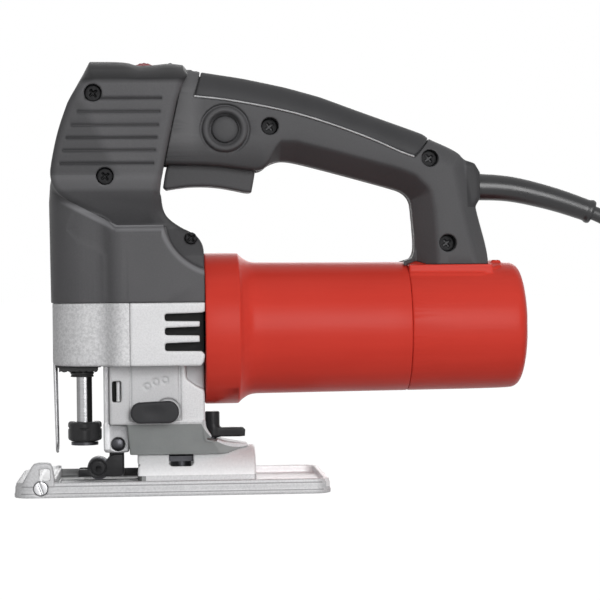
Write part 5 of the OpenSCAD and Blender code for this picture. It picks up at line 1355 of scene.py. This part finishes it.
def plug_form(x, y, z):
    r = np.hypot(y - plug_y, z - plug_z)
    neck = np.maximum(r - 4.8 - 3.2 * np.clip((x - 230.4) / 22, 0, 1), np.abs(x - 242) - 11.6)
    for at in (234.5, 238, 241.5, 245):
        neck = less(neck, np.maximum(np.abs(x - at) - 0.6, 5.2 + 0.12 * (x - 232) - r), 0.3)
    body = rolled(rolled(r - 17.7, np.abs(z - plug_z) - 12.9, 3), np.abs(x - 268.4) - 15.9, 2.5)
    waist = np.hypot(np.abs(y - plug_y) - 26, x - 266) - 11.5
    whole = joined(neck, less(body, waist, 1.5), 2.5)
    for at in (plug_y - pin_gap, plug_y + pin_gap):
        whole = less(whole, pin(y, z, x, (at, plug_z), 2.45, 278.4, 290), 0.2)
    return whole


moulded("mains_plug", (229.6, -4.6, 22.8), (285.2, 32.6, 50), 0.5, plug_form,
        flex_rubber, "housing", ["plug"], 0.3)
plug_pin = [(278.4, 0), (278.4, 2.4), (302.6, 2.4), (303.2, 2.0), (303.4, 1.2), (303.4, 0)]
for side, name in ((-1, "plug_pin_left"), (1, "plug_pin_right")):
    turned(name, plug_pin, (0, plug_y + side * pin_gap, plug_z), "x",
           plated_steel, "housing", ["plug_pins"], 32)
tie_nylon = nylon("tie_nylon", (0.02, 0.02, 0.021), (0.035, 0.035, 0.037), 0.4)
dressed(tie_nylon, "cord_tie", "cord_clamp", "switch_body", "fan")

# --- Inside ------------------------------------------------------------------
# The motor, gears and electrics, which only show through the air outlets: laminated steel, lacquered copper,
# carbon, bronze and circuit board.
stack, ink, surface = finish_named("stack_steel", metallic=0.9, roughness=0.45)
x, y, z = spot(ink)
sheets = ink.math("SINE", x * 6283, 0.0) * 0.5 + 0.5
mottled_sheets = sheets * 0.5 + grain(ink, 4, 3) * 0.5
lay_on(surface, "Base Color", tinted(ink, mottled_sheets, (0.10, 0.10, 0.10), (0.30, 0.30, 0.30)))
lay_on(surface, "Normal", relief(ink, sheets, 0.05))
dressed(stack, "field_stator", "armature_core")
copper = steel("lacquered_copper", (0.55, 0.20, 0.09), (0.80, 0.36, 0.18), 0.35)
dressed(copper, "commutator", "brush_holders")
bronze = steel("sintered_bronze", (0.40, 0.25, 0.10), (0.60, 0.42, 0.20), 0.5, 0.6, 0.03)
dressed(bronze, "upper_bush", "lower_bush")
greased_steel = steel("greased_steel", (0.035, 0.034, 0.032), (0.09, 0.088, 0.084), 0.3, metallic=0.8)
dressed(greased_steel, "armature_shaft", "front_bearing", "rear_bearing",
        "crank_gear", "gear_axle", "crank_pin")
carbon, ink, surface = finish_named("brush_carbon", roughness=0.6)
lay_on(surface, "Base Color", tinted(ink, grain(ink, 0.6, 3), (0.012, 0.012, 0.012), (0.04, 0.04, 0.042)))
lay_on(surface, "Normal", relief(ink, grain(ink, 0.4, 3), 0.03))
dressed(carbon, "carbon_brushes")
board, ink, surface = finish_named("circuit_board", roughness=0.35)
tracks = ink.node("ValToRGB", {"stops": [(0.5, 0.0), (0.54, 1.0)]}, {0: grain(ink, 2.5, 2)})
lay_on(surface, "Base Color", tinted(ink, tracks, (0.008, 0.05, 0.022), (0.02, 0.10, 0.045)))
dressed(board, "speed_module")


low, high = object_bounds()
